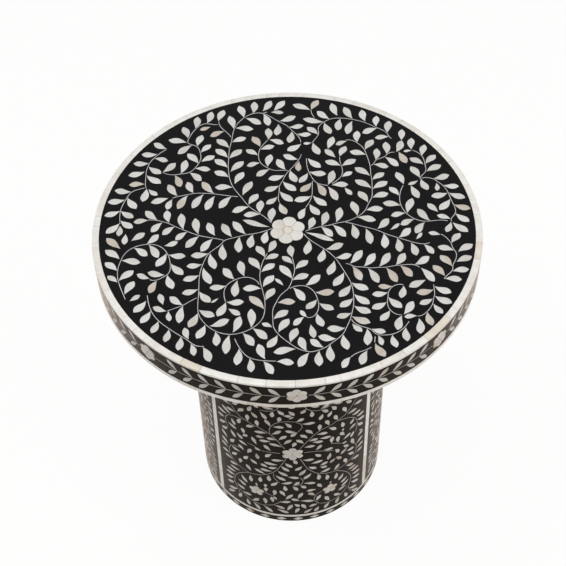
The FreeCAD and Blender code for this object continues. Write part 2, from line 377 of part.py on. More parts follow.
# How many leaf pairs run between two flowers, and their pitch: to the right and to the left of the front
EDGE_RUNS = {1: (8, 18.0), -1: (7, 19.5)}

# Flowers
TOP_FLOWER_R = 20.5
TOP_FLOWER_CORE_R = 6.0
TOP_FLOWER_TURN = 20.0
SIDE_FLOWER_CORE_R = 0.8
SIDE_FLOWER_TURN = 30.0
PETALS = 6
PETAL_SPREAD = 0.993
PETAL_SHOULDER = 0.70
PANEL_PETAL_SHOULDER = 0.57
SMALL_PETAL_SHOULDER = 0.45
PETAL_FOOT = 0.9
FLOWER_ROOM = 0.84
LOBE_AT = 0.62
LOBE_ROOM = 0.4


def export(name, solids):
    """Write a node's solids as one STEP file."""
    shape = solids[0] if len(solids) == 1 else Part.makeCompound(solids)
    if not shape.isValid():
        print("not valid:", name)
    shape.exportStep("parts/" + name + ".step")
    print(name, len(shape.Solids), "solids")


def unit(vector):
    return vector * (1.0 / vector.Length)


def turned(vector, degrees):
    """A flat vector turned about Z."""
    angle = math.radians(degrees)
    c, s = math.cos(angle), math.sin(angle)
    return Vector(c * vector.x - s * vector.y, s * vector.x + c * vector.y, 0)


def spline(points):
    curve = Part.BSplineCurve()
    curve.interpolate(points)
    return curve


def ring(outer_r, inner_r, z_low, z_high):
    outer = Part.makeCylinder(outer_r, z_high - z_low, Vector(0, 0, z_low))
    return outer.cut(Part.makeCylinder(inner_r, z_high - z_low, Vector(0, 0, z_low)))


def sector(outer_r, inner_r, z_low, z_high, middle, width):
    """A stretch of ring: middle and width in degrees round from the front."""
    start = Vector(0, 0, z_low)
    outer = Part.makeCylinder(outer_r, z_high - z_low, start, Vector(0, 0, 1), width)
    inner = Part.makeCylinder(inner_r, z_high - z_low, start, Vector(0, 0, 1), width)
    piece = outer.cut(inner)
    piece.rotate(Vector(), Vector(0, 0, 1), middle - width / 2 - 90)
    return piece


def ring_pieces(outer_r, inner_r, z_low, z_high, count):
    """A ring made of short bone pieces of slightly uneven length, with hairline joints."""
    cuts = []
    for i in range(count):
        uneven = sum(size * math.sin(rate * i + start) for size, rate, start in UNEVEN_WAVES)
        cuts.append((i + uneven) * 360.0 / count)
    joint = math.degrees(BONE_JOINT / outer_r)
    pieces = []
    for i, low in enumerate(cuts):
        high = cuts[i + 1] if i + 1 < count else cuts[0] + 360
        pieces.append(sector(outer_r, inner_r, z_low, z_high, (low + high) / 2, high - low - joint))
    return pieces


class Pattern:
    """An inlaid sheet laid out flat: its stems, its leaves and the room that each one takes."""

    CELL = 12.0

    def __init__(self, on_sheet, leaf_width, leaf_slim):
        self.on_sheet = on_sheet
        self.leaf_width = leaf_width
        self.leaf_slim = leaf_slim
        self.stems = []
        self.leaves = []
        self.cells = {}

    def take(self, discs):
        for disc in discs:
            key = (int(disc[0] // self.CELL), int(disc[1] // self.CELL))
            self.cells.setdefault(key, []).append(disc)

    def is_clear(self, discs, gap):
        for x, y, r in discs:
            if not self.on_sheet(x, y, r + gap):
                return False
            column, row = int(x // self.CELL), int(y // self.CELL)
            for i in (column - 1, column, column + 1):
                for j in (row - 1, row, row + 1):
                    for u, v, s in self.cells.get((i, j), ()):
                        if math.hypot(u - x, v - y) < r + s + gap:
                            return False
        return True

    def add_stem(self, nodes):
        """Lay a stem through its nodes, trimmed back from what it springs from."""
        points = spline([Vector(x, y, 0) for x, y in nodes]).discretize(Distance=STEM_STEP)
        half = STEM_WIDTH / 2
        clear = [self.is_clear([(p.x, p.y, half)], STEM_GAP) for p in points]
        if not any(clear):
            return
        first = clear.index(True)
        stop = first
        while stop < len(points) and clear[stop]:
            stop += 1
        kept = points[first:stop]
        if len(kept) > 3:
            self.stems.append(kept)
            self.take([(p.x, p.y, half) for p in kept])

    def add_leaf(self, base, tip, width, lean):
        sides = leaf_sides(base, tip, width, lean)
        discs = leaf_discs(sides)
        if not self.is_clear(discs, LEAF_GAP):
            return False
        self.leaves.append(sides)
        self.take(discs)
        return True

    def lean_at(self, base, way):
        """How the foot of a leaf bends along the nearest stem: 1 or -1, and 0 where no stem is near."""
        lean, nearest = 0, LEAN_REACH
        for points in self.stems:
            for here, ahead in zip(points, points[1:]):
                distance = (here - base).Length
                if distance < nearest:
                    nearest = distance
                    along = ahead - here
                    lean = -1 if along.cross(way).z * along.dot(way) > 0 else 1
        return lean

    def add_given_leaf(self, base, tip):
        """A leaf from base to tip, drawn back at its foot and then shrunk until it is clear."""
        lean = self.lean_at(base, tip - base)
        for shrink in SHRINKS:
            for trim in FOOT_TRIMS:
                low = tip + (base - tip) * (shrink - trim)
                length = (tip - low).Length
                width = min(self.leaf_width, self.leaf_slim * length, LONG_LEAF_SPREAD / length)
                if self.add_leaf(low, tip, width * shrink, lean):
                    return

    def grow(self, stems, leaves):
        """Lay all stems first, then the leaves."""
        for nodes in stems:
            self.add_stem(nodes)
        for x0, y0, x1, y1 in leaves:
            self.add_given_leaf(Vector(x0, y0, 0), Vector(x1, y1, 0))


def leaf_sides(base, tip, width, lean):
    """A leaf's two long sides as cubic curves from base to tip. lean bends its foot along the stem."""
    along = tip - base
    across = unit(turned(along, 90)) * width
    foot = across * (LEAF_LEAN * lean)
    sides = []
    for side in (1, -1):
        near = base + along * LEAF_NEAR[0] + across * (LEAF_NEAR[1] * side) + foot
        far = base + along * LEAF_FAR[0] + across * (LEAF_FAR[1] * side)
        sides.append([base, near, far, tip])
    return sides


def curve_point(poles, t):
    a, b, c, d = poles
    s = 1 - t
    return a * (s * s * s) + b * (3 * s * s * t) + c * (3 * s * t * t) + d * (t * t * t)


def leaf_discs(sides):
    """Discs that fill a leaf, for telling whether it is clear of others."""
    discs = []
    for i in range(LEAF_DISCS):
        share = i / (LEAF_DISCS - 1)
        left = curve_point(sides[0], share)
        right = curve_point(sides[1], share)
        middle = (left + right) * 0.5
        discs.append((middle.x, middle.y, max((left - right).Length / 2, LEAF_TIP_ROOM)))
    return discs


def leaf_outline(sides):
    left, right = sides
    return [left, right[::-1]]


def petal_outline(middle, way, core_r, radius, count, shoulder_share):
    """A round-ended petal, narrow at the flower's core and broad at its end."""
    across = turned(way, 90)
    spread = PETAL_SPREAD * math.tan(math.pi / count)
    inner = core_r * PETAL_FOOT
    shoulder = radius * shoulder_share
    foot_l = middle + way * inner + across * (inner * spread)
    foot_r = middle + way * inner - across * (inner * spread)
    end_l = middle + way * shoulder + across * (shoulder * spread)
    end_r = middle + way * shoulder - across * (shoulder * spread)
    return [[foot_r, end_r], [end_r, middle + way * radius, end_l], [end_l, foot_l], [foot_l, foot_r]]


def flower_outlines(middle, core_r, radius, count, first_angle, shoulder_share=PETAL_SHOULDER):
    """Petal outlines of one flower."""
    outlines = []
    for i in range(count):
        way = turned(Vector(1, 0, 0), first_angle + i * 360.0 / count)
        outlines.append(petal_outline(middle, way, core_r, radius, count, shoulder_share))
    return outlines


def lozenge_outline(middle, length, height):
    corners = []
    for i in range(4):
        size = length / 2 if i % 2 == 0 else height / 2
        corners.append(middle + turned(Vector(1, 0, 0), 90 * i) * size)
    return [[corners[i], corners[(i + 1) % 4]] for i in range(4)]


def edge_of(points, lift):
    """An edge through lifted points: two make a line, three an arc and four a cubic curve."""
    lifted = [lift(p) for p in points]
    if len(lifted) == 2:
        return Part.makeLine(lifted[0], lifted[1])
    if len(lifted) == 3:
        return Part.Arc(lifted[0], lifted[1], lifted[2]).toShape()
    curve = Part.BezierCurve()
    curve.setPoles(lifted)
    return curve.toShape()


def wire_of(outline, lift):
    return Part.Wire([edge_of(points, lift) for points in outline])


def stem_edges(points):
    """The two long sides of a stem, each a smooth row of points."""
    sides = ([], [])
    last = len(points) - 1
    for i, point in enumerate(points):
        along = unit(points[min(i + 1, last)] - points[max(i - 1, 0)])
        across = turned(along, 90) * (STEM_WIDTH / 2)
        sides[0].append(point + across)
        sides[1].append(point - across)
    return sides


def flat_lift(z):
    return lambda p: Vector(p.x, p.y, z)


def flat_stem_wire(points, z):
    lift = flat_lift(z)
    left, right = [[lift(p) for p in side] for side in stem_edges(points)]
    ends = [Part.makeLine(left[-1], right[-1]), Part.makeLine(right[0], left[0])]
    return Part.Wire([spline(left).toShape(), ends[0], spline(right[::-1]).toShape(), ends[1]])


def raised(wire, height):
    return Part.Face(wire).extrude(Vector(0, 0, height))


def round_place(arc, radius):
    """The outward way and the sideways way at an arc length round from the front."""
    angle = arc / radius
    out = Vector(math.sin(angle), -math.cos(angle), 0)
    side = Vector(math.cos(angle), math.sin(angle), 0)
    return out, side


def round_chip(outline, radius, middle_arc):
    """A flat bone chip bedded on a round face: its outline is laid out flat as arc and height."""
    points = [p for curve in outline for p in curve]
    arc = (min(p.x for p in points) + max(p.x for p in points)) / 2
    out, side = round_place(middle_arc + arc, radius)
    start = out * (radius - CHIP)
    wire = wire_of(outline, lambda p: start + side * (p.x - arc) + Vector(0, 0, p.y))
    return Part.Face(wire).extrude(out * CHIP)


def round_stem(points, radius, middle_arc):
    """A stem laid round the face as short strips, end to end with hairline joints."""
    left, right = stem_edges(points)
    marks = list(range(0, len(points) - 2, STRIP_STEPS)) + [len(points) - 1]
    strips = []
    for low, high in zip(marks, marks[1:]):
        joint = unit(points[high] - points[low]) * STRIP_JOINT
        corners = [left[low] + joint, left[high] - joint, right[high] - joint, right[low] + joint]
        outline = [[corners[i], corners[(i + 1) % 4]] for i in range(4)]
        strips.append(round_chip(outline, radius, middle_arc))
    return strips


def screw(at, way):
    """A countersunk wood screw: at is the middle of its head's face, way points along its shank."""
    head = Part.makeCone(SCREW_HEAD_R, SCREW_R, SCREW_HEAD_R - SCREW_R, at, way)
    shank_length = SCREW_LENGTH - SCREW_POINT
    shank = Part.makeCylinder(SCREW_R, shank_length, at, way)
    point = Part.makeCone(SCREW_R, SCREW_POINT_R, SCREW_POINT, at + way * shank_length, way)
    slot = Part.makeBox(*SCREW_SLOT, at - Vector(SCREW_SLOT[0] / 2, SCREW_SLOT[1] / 2, 0))
    return head.fuse([shank, point]).removeSplitter().cut(slot)


def circle_points(radius, count, first, z):
    points = []
    for i in range(count):
        points.append(turned(Vector(radius, 0, 0), first + i * 360.0 / count) + Vector(0, 0, z))
    return points


def make_top_inlay():
    """The top's black field with its vine, flower and bone rim."""
    inner_r = TOP_R - RIM_WIDTH

    def on_field(x, y, r):
        return math.hypot(x, y) + r < inner_r - SHEET_MARGIN

    pattern = Pattern(on_field, TOP_LEAF_WIDTH, TOP_LEAF_SLIM)
    petals = []
    for outline in flower_outlines(FLOWER_AT, TOP_FLOWER_CORE_R, TOP_FLOWER_R, PETALS, TOP_FLOWER_TURN):
        petals.append(raised(wire_of(outline, flat_lift(FIELD_Z)), TOP_SKIN))
    pattern.take([(FLOWER_AT.x, FLOWER_AT.y, TOP_FLOWER_R * FLOWER_ROOM)])
    for lobe in circle_points(TOP_FLOWER_R * LOBE_AT, PETALS, TOP_FLOWER_TURN, 0):
        pattern.take([(FLOWER_AT.x + lobe.x, FLOWER_AT.y + lobe.y, TOP_FLOWER_R * LOBE_ROOM)])
    pattern.grow(TOP_STEMS, TOP_LEAVES)

    core = Part.makeCylinder(TOP_FLOWER_CORE_R, TOP_SKIN, FLOWER_AT + Vector(0, 0, FIELD_Z))
    petals = [petal.cut(core) for petal in petals]
    leaf_wires = [wire_of(leaf_outline(s), flat_lift(FIELD_Z)) for s in pattern.leaves]
    stem_wires = [flat_stem_wire(points, FIELD_Z) for points in pattern.stems]
    rim = Part.Wire(Part.makeCircle(inner_r, Vector(0, 0, FIELD_Z)))
    field = Part.makeFace([rim] + leaf_wires + stem_wires, "Part::FaceMakerCheese")
    field = field.extrude(Vector(0, 0, TOP_SKIN))
    field = field.cut(core.fuse(petals))
    export("top_resin_field", field.Solids[:1])
    export("top_vine_leaves", [raised(wire, TOP_SKIN) for wire in leaf_wires])
    export("top_vine_stems", [raised(wire, TOP_SKIN) for wire in stem_wires])
    export("top_flower_petals", petals)
    export("top_flower_centre", [core])
    export("top_rim_bone", ring_pieces(TOP_R, inner_r, FIELD_Z, HEIGHT, RIM_PIECES))


def make_edge_inlay():
    """The black band round the top's edge, with a laurel that runs from the front flower to the back."""
    low = UNDERSIDE_Z + LOWER_STRIP
    step = 2 * math.pi * TOP_R / EDGE_FLOWERS
    leaves, petals, stems = [], [], []
    middle = Vector(0, EDGE_MIDDLE_Z, 0)
    for f in range(EDGE_FLOWERS):
        flower_arc = EDGE_FLOWER_ARC + f * step
        outlines = flower_outlines(middle, SIDE_FLOWER_CORE_R, EDGE_FLOWER_R, PETALS, SIDE_FLOWER_TURN)
        petals += [round_chip(outline, TOP_R, flower_arc) for outline in outlines]
        forward = 1 if f < EDGE_FLOWERS / 2 else -1
        start = flower_arc if forward > 0 else flower_arc + step
        pairs, pitch = EDGE_RUNS[forward]
        for pair in range(pairs):
            apex = Vector(forward * (EDGE_FIRST + pitch * pair), EDGE_MIDDLE_Z, 0)
            for side in (1, -1):
                way = turned(Vector(forward, 0, 0), side * EDGE_LEAF_ANGLE)
                base = apex + way * LEAF_START
                sides = leaf_sides(base, base + way * EDGE_LEAF[0], EDGE_LEAF[1], -side * EDGE_LEAN)
                leaves.append(round_chip(leaf_outline(sides), TOP_R, start))
        reach = EDGE_FLOWER_R + LEAF_GAP
        turn = math.degrees((flower_arc + step / 2) / TOP_R)
        width = math.degrees((step - 2 * reach) / TOP_R)
        half = STEM_WIDTH / 2
        stems.append(sector(TOP_R, TOP_R - CHIP, EDGE_MIDDLE_Z - half, EDGE_MIDDLE_Z + half, turn, width))
    export("edge_resin_band", [ring(TOP_R - CHIP, CORE_R, low, FIELD_Z)])
    export("edge_laurel_leaves", leaves)
    export("edge_flower_petals", petals)
    export("edge_laurel_stems", stems)
    export("edge_lower_bone_strip", ring_pieces(TOP_R, CORE_R, UNDERSIDE_Z, low, STRIP_PIECES))


def panel_parts(squeeze):
    """A panel's stems and leaves, squeezed sideways, with its lower part repeated upside down above."""
    top = 2 * PANEL_MIDDLE_Z
    stems, leaves = [], []
    for stem in PANEL_STEMS:
        stems.append([(x * squeeze, z) for x, z in stem])
        if max(z for x, z in stem) < MIRROR_BELOW:
            stems.append([(x * squeeze, top - z) for x, z in stem])
    for x0, z0, x1, z1 in PANEL_LEAVES:
        leaves.append((x0 * squeeze, z0, x1 * squeeze, z1))
        if max(z0, z1) < MIRROR_BELOW:
            leaves.append((x0 * squeeze, top - z0, x1 * squeeze, top - z1))
    return stems, leaves


def make_drum_panel(name, middle_arc, half_width):
    """One resin panel of the drum with its vine and flowers. Returns its petals."""
    squeeze = half_width / (UPRIGHT_AT - UPRIGHT_WIDTH / 2)

    def on_panel(x, y, r):
        low, high = PANEL_Z + SHEET_MARGIN, UNDERSIDE_Z - SHEET_MARGIN
        return abs(x) + r < half_width - SHEET_MARGIN and low < y - r and y + r < high

    pattern = Pattern(on_panel, DRUM_LEAF_WIDTH, DRUM_LEAF_SLIM)
    flowers = []
    for z in (PANEL_FLOWER_Z, 2 * PANEL_MIDDLE_Z - PANEL_FLOWER_Z):
        flowers.append((0, z, PANEL_FLOWER_R, PETALS, SIDE_FLOWER_TURN, PANEL_PETAL_SHOULDER))
    for side in (1, -1):
        for z in (SMALL_FLOWER_AT[1], 2 * PANEL_MIDDLE_Z - SMALL_FLOWER_AT[1]):
            x = side * SMALL_FLOWER_AT[0] * squeeze
            flowers.append((x, z, SMALL_FLOWER_R, SMALL_PETALS, SMALL_FLOWER_TURN, SMALL_PETAL_SHOULDER))
    petals = []
    for x, z, radius, count, first, shoulder in flowers:
        pattern.take([(x, z, radius)])
        for outline in flower_outlines(Vector(x, z, 0), SIDE_FLOWER_CORE_R, radius, count, first, shoulder):
            petals.append(round_chip(outline, DRUM_R, middle_arc))
    pattern.grow(*panel_parts(squeeze))

    middle = math.degrees(middle_arc / DRUM_R)
    width = math.degrees(2 * half_width / DRUM_R)
    panel = sector(DRUM_R - CHIP, SHELL_R, PANEL_Z, UNDERSIDE_Z, middle, width)
    leaves = [round_chip(leaf_outline(s), DRUM_R, middle_arc) for s in pattern.leaves]
    stems = []
    for points in pattern.stems:
        stems += round_stem(points, DRUM_R, middle_arc)
    export("drum_resin_" + name, [panel])
    export("drum_leaves_" + name, leaves)
    export("drum_stems_" + name, stems)
    return petals


def make_drum_skin():
    """Resin panels, bone uprights, the bone line and the foot band with its lozenges."""
    half_turn = math.pi * DRUM_R
    wide = UPRIGHT_AT - UPRIGHT_WIDTH / 2
    narrow = half_turn / 2 - UPRIGHT_AT - UPRIGHT_WIDTH / 2
    petals = []
    panels = (("front", 0, wide), ("right", half_turn / 2, narrow), ("back", half_turn, wide),
              ("left", -half_turn / 2, narrow))
    for name, middle_arc, half_width in panels:
        petals += make_drum_panel(name, middle_arc, half_width)
    export("drum_flower_petals", petals)

    uprights = []
    piece_height = (UNDERSIDE_Z - PANEL_Z) / UPRIGHT_PIECES
    width = math.degrees(UPRIGHT_WIDTH / DRUM_R)
    for arc in (UPRIGHT_AT, -UPRIGHT_AT, half_turn - UPRIGHT_AT, half_turn + UPRIGHT_AT):
        for i in range(UPRIGHT_PIECES):
            low = PANEL_Z + i * piece_height
            high = low + piece_height - (BONE_JOINT if i + 1 < UPRIGHT_PIECES else 0)
            uprights.append(sector(DRUM_R, SHELL_R, low, high, math.degrees(arc / DRUM_R), width))
    export("drum_bone_uprights", uprights)
    export("base_bone_line", ring_pieces(DRUM_R, SHELL_R, BASE_LINE_Z, PANEL_Z, LINE_PIECES))

    pitch = 2 * half_turn / LOZENGE_COUNT
    middle = Vector(0, (PAD_THICK + BASE_LINE_Z) / 2, 0)
    outline = lozenge_outline(middle, LOZENGE_LENGTH, LOZENGE_HEIGHT)
    lozenges = [round_chip(outline, DRUM_R, (i + LOZENGE_SHIFT) * pitch) for i in range(LOZENGE_COUNT)]
    export("base_resin_band", [ring(DRUM_R - CHIP, SHELL_R, PAD_THICK, BASE_LINE_Z)])
    export("base_lozenges", lozenges)


def make_woodwork():
    """Boards, drum shell, plates, cleats, screws, dowels and floor pads."""
    top_plate_z = BOARD_Z - PLATE_THICK
    base_plate_top = PAD_THICK + PLATE_THICK
    plate_r = BORE_R - FIT
    up = Vector(0, 0, 1)
    plate_screws = [screw(p, up) for p in circle_points(PLATE_SCREW_CIRCLE_R, PLATE_SCREWS, 0, top_plate_z)]
    dowels = []
    for p in circle_points(DOWEL_CIRCLE_R, DOWELS, DOWEL_TURN, BOARD_Z - DOWEL_LENGTH / 2):
        dowels.append(Part.makeCylinder(DOWEL_R, DOWEL_LENGTH, p))
    width, depth, tall = CLEAT_SIZE
    cleats = []
    bore = Part.makeCylinder(BORE_R, HEIGHT)
    upper_cleat_z = top_plate_z - tall
    for i in range(CLEATS):
        for low in (base_plate_top, upper_cleat_z):
            block = Part.makeBox(depth + WALL, width, tall, Vector(BORE_R - depth, -width / 2, low))
            block = block.common(bore)
            block.rotate(Vector(), up, CLEAT_TURN + i * 360.0 / CLEATS)
            cleats.append(block)
    # The upper cleats have a well for their screws' heads
    cleat_circle_r = BORE_R - depth / 2
    cleat_screws, wells = [], []
    for z in (PAD_THICK, upper_cleat_z + CLEAT_WELL):
        cleat_screws += [screw(p, up) for p in circle_points(cleat_circle_r, CLEATS, CLEAT_TURN, z)]
    for p in circle_points(cleat_circle_r, CLEATS, CLEAT_TURN, upper_cleat_z):
        wells.append(Part.makeCylinder(SCREW_HEAD_R + FIT, CLEAT_WELL, p))
    cleats = [cleat.cut(cleat_screws + wells) for cleat in cleats]

    board = Part.makeCylinder(CORE_R, TOP_BOARD_THICK, Vector(0, 0, BOARD_Z))
    export("top_board", [board.cut(plate_screws + dowels)])
    export("top_build_up_ring", [ring(CORE_R, SHELL_R + FIT, UNDERSIDE_Z, BOARD_Z)])
    export("drum_shell", [ring(SHELL_R, BORE_R, PAD_THICK, BOARD_Z)])
    plate = Part.makeCylinder(plate_r, PLATE_THICK, Vector(0, 0, top_plate_z))
    export("drum_top_plate", [plate.cut(plate_screws + dowels + cleat_screws)])
    base = Part.makeCylinder(plate_r, PLATE_THICK, Vector(0, 0, PAD_THICK))
    export("drum_base_plate", [base.cut(cleat_screws)])
    export("inner_cleats", cleats)
    export("cleat_screws", cleat_screws)
    export("top_fixing_screws", plate_screws)
    export("locating_dowels", dowels)
    pads = [Part.makeCylinder(PAD_R, PAD_THICK, p) for p in circle_points(PAD_CIRCLE_R, 4, 0, 0)]
    export("floor_pads", pads)


os.makedirs("parts", exist_ok=True)
make_woodwork()
make_top_inlay()
make_edge_inlay()
make_drum_skin()
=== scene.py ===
import math

import bmesh
import bpy
import numpy as np
from mathutils import Matrix, Vector


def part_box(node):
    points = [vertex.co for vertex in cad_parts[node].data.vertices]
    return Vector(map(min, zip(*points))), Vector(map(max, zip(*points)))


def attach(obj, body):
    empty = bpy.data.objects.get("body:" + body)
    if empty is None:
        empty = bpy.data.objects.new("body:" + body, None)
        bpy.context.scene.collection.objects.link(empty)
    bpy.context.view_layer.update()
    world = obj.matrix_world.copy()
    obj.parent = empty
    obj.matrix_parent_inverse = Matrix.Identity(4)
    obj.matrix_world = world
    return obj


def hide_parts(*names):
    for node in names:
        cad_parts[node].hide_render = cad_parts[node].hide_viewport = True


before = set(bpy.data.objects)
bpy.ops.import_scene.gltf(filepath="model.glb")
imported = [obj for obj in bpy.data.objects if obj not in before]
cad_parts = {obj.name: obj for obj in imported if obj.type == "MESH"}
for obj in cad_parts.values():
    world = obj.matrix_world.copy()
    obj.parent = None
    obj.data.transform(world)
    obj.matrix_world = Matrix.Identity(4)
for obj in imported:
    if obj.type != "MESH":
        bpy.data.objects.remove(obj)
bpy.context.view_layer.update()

# Sizes read from the frame, in metres
MM = 0.001
TOP_R = (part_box("top_rim_bone")[1].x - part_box("top_rim_bone")[0].x) / 2
DRUM_R = (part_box("base_bone_line")[1].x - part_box("base_bone_line")[0].x) / 2
FIELD_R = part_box("top_resin_field")[1].x
TOP_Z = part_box("top_rim_bone")[1].z
FIELD_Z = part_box("top_rim_bone")[0].z
CORE_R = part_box("top_board")[1].x
SHELL_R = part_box("drum_shell")[1].x

# How the inlay lies: resin is poured round the bone and sanded back just below it
RESIN_BELOW = 0.10 * MM
CHIP_CROWN = 0.10 * MM
CHIP_EDGE = 0.16 * MM
CHIP_SKIRT = 0.80 * MM
PETAL_EASE = 0.15 * MM
TOP_PETAL_EASE = 0.105 * MM
TRIM_EASE = 0.25 * MM
EASE_SEGMENTS = 2

# Angles in degrees: faces are joined below the first, edges are eased above the second, and
# shading breaks above the third on chips and above the fourth on rounder pieces
FLAT_BELOW = 2
EASED_ABOVE = 40
CHIP_BREAK = 20
ROUND_BREAK = 35

FULL_TURN = 2 * math.pi
TOUCH = 1e-6
ROUND_COLUMNS = 240
PANEL_COLUMNS = 64

# A bone leaf a unit long and wide: the two inner poles of its sides, its stations along, where its soft
# edge ends, and a shoulder as shares of its half width and its crown
LEAF_NEAR = (0.33, 0.305)
LEAF_FAR = (0.69, 0.953)
LEAF_STATIONS = (0.0, 0.10, 0.24, 0.38, 0.52, 0.66, 0.80, 0.91, 1.0)
LEAF_EDGE_AT = 0.86
LEAF_SHOULDER = (0.45, 0.7)
LEAF_END_HALF = 0.012

# Where a leaf is measured, as shares of the way from its base to its tip, and how far a bend shows there
BEND_AT = 0.31
BEND_SHARE = 0.44
NARROW_END_AT = 0.18

# Rings of short bone pieces: counts, joints and eased edges, and the waves that space the joints unevenly,
# each as height, rate and shift
RIM_PIECES = 44
STRIP_PIECES = 30
LINE_PIECES = 20
RING_JOINT = 0.30 * MM
RIM_EASE = 0.9 * MM
STRIP_EASE = 0.4 * MM
BACK_EASE = 0.3 * MM
EASE_SHOULDER = 0.3
PIECE_STEPS = 12
PIECE_END = 0.004
END_DRAW = 0.06 * MM
JOINT_WAVES = ((0.22, 2.4, 0.0), (0.14, 5.1, 1.0))

# Seeds of the tints, of the first layer of leaves and of the first ring
LEAF_SEED = 3
RING_SEED = 20

PANELS = ("front", "right", "back", "left")
WALL_STEM_NODES = ["edge_laurel_stems"] + ["drum_stems_" + p for p in PANELS]
HIDDEN_WOOD = ("top_board", "top_build_up_ring", "drum_shell", "drum_top_plate", "drum_base_plate",
               "inner_cleats", "locating_dowels")

# Bone tints: each chip draws a number from 0 to 1, and these are the colours at stops along it
LEAF_TINTS = ((0.0, (0.84, 0.84, 0.83)), (0.45, (0.80, 0.795, 0.78)), (0.92, (0.75, 0.74, 0.715)),
              (0.94, (0.72, 0.665, 0.60)), (1.0, (0.66, 0.60, 0.53)))
WALL_TINTS = ((0.0, (0.82, 0.785, 0.745)), (0.45, (0.79, 0.755, 0.71)), (0.89, (0.75, 0.71, 0.66)),
              (0.91, (0.745, 0.66, 0.57)), (1.0, (0.68, 0.59, 0.495)))
FLOWER_TINTS = ((0.0, (0.86, 0.85, 0.825)), (0.7, (0.84, 0.825, 0.79)), (1.0, (0.81, 0.78, 0.73)))
CENTRE_TINTS = ((0.0, (0.85, 0.79, 0.70)), (1.0, (0.83, 0.76, 0.66)))
PIECE_TINTS = ((0.0, (0.835, 0.83, 0.81)), (0.55, (0.815, 0.803, 0.775)), (0.86, (0.78, 0.755, 0.71)),
               (0.90, (0.73, 0.67, 0.59)), (1.0, (0.66, 0.585, 0.49)))
BONE_FINISHES = {
    "bone_leaf": (0.81, LEAF_TINTS),
    "bone_wall_leaf": (0.70, WALL_TINTS),
    "bone_piece": (1.0, PIECE_TINTS),
    "bone_flower": (0.86, FLOWER_TINTS),
    "bone_flower_centre": (0.90, CENTRE_TINTS),
    "bone_wall_piece": (0.84, WALL_TINTS),
}

# Bone chips that keep the frame's outline: node, finish, eased edge and seed of the tints
CHIPS = (
    ("top_flower_petals", "bone_flower", TOP_PETAL_EASE, 40),
    ("top_flower_centre", "bone_flower_centre", TOP_PETAL_EASE, 41),
    ("edge_flower_petals", "bone_wall_piece", PETAL_EASE, 42),
    ("drum_flower_petals", "bone_wall_piece", PETAL_EASE, 43),
    ("drum_bone_uprights", "bone_piece", TRIM_EASE, 54),
    ("base_lozenges", "bone_wall_piece", TRIM_EASE, 51),
)

# Colours within the finishes
# The first bone colour darkens the clouds: partly the bone's own clouding, partly painted shade
BONE_CLOUD_AND_SHADE = (0.83, 0.81, 0.78, 1)
BONE_STREAK = (0.80, 0.76, 0.70, 1)
BONE_PORE = (0.60, 0.54, 0.46, 1)
STEM_FLECK = (0.40, 0.38, 0.36, 1)
TOP_STEM = ((0.47, 0.47, 0.49), (0.70, 0.70, 0.72))
WALL_STEM = ((0.30, 0.28, 0.26), (0.50, 0.47, 0.44))
TOP_RESIN = ((0.0042, 0.0039, 0.0045), (0.0074, 0.0068, 0.0078))
TOP_RESIN_SHINE = (1.0, 0.98, 1.0, 1)
WALL_RESIN = ((0.0040, 0.0036, 0.0032), (0.0075, 0.0067, 0.0060))
WALL_RESIN_SHINE = (1.0, 0.82, 0.71, 1)
BONE_DUST = (0.22, 0.20, 0.18, 1)
WOOD_GRAIN = ((0.30, (0.20, 0.125, 0.07)), (0.55, (0.33, 0.215, 0.125)), (0.75, (0.42, 0.29, 0.18)))
WOOD_PORE = (0.12, 0.07, 0.04, 1)
ZINC = ((0.3, (0.50, 0.49, 0.46)), (0.7, (0.66, 0.65, 0.61)))
FELT = ((0.3, (0.02, 0.018, 0.016)), (0.7, (0.075, 0.068, 0.06)))
FLOOR_PAINT = ((0.3, (0.93, 0.88, 0.83)), (0.7, (0.96, 0.91, 0.86)))
WHITE = (1, 1, 1, 1)

# How refractive bone and the two resins are, and the depths of their marks
BONE_IOR = 1.54
TOP_RESIN_IOR = 1.15
WALL_RESIN_IOR = 1.06
HAZE_ROUGHNESS = 0.275
FINE_DEPTH = 0.2 * MM
WOOD_DEPTH = 0.3 * MM
FELT_DEPTH = 0.6 * MM

# Stage: the floor's half side, how white it looks, and the lamps as name, place, size, watts and colour
FLOOR_HALF = 12
FLOOR_WHITE = 0.95
WORLD_LIGHT = 0.32
LAMP_AIM = (0, 0, 0.3)
LAMPS = (
    ("overhead", (-0.6, -0.3, 3.2), 2.6, 55, (1.0, 0.99, 0.97)),
    ("left", (-2.6, -1.2, 1.7), 2.0, 5, (1.0, 0.95, 0.90)),
    ("right", (2.6, -1.0, 1.5), 2.0, 30, (1.0, 0.93, 0.86)),
)

# The camera stands in front and above: focal length in pixels of a square image, angles in radians
IMAGE = 566
FOCAL = 1258.3
SENSOR = 36.0
CAMERA_RISE = 0.8900
CAMERA_ROLL = -0.0271
CAMERA_AWAY = 1.53618
CAMERA_TARGET = Vector((-0.0064, 0.0, 0.3740))


# Finishes


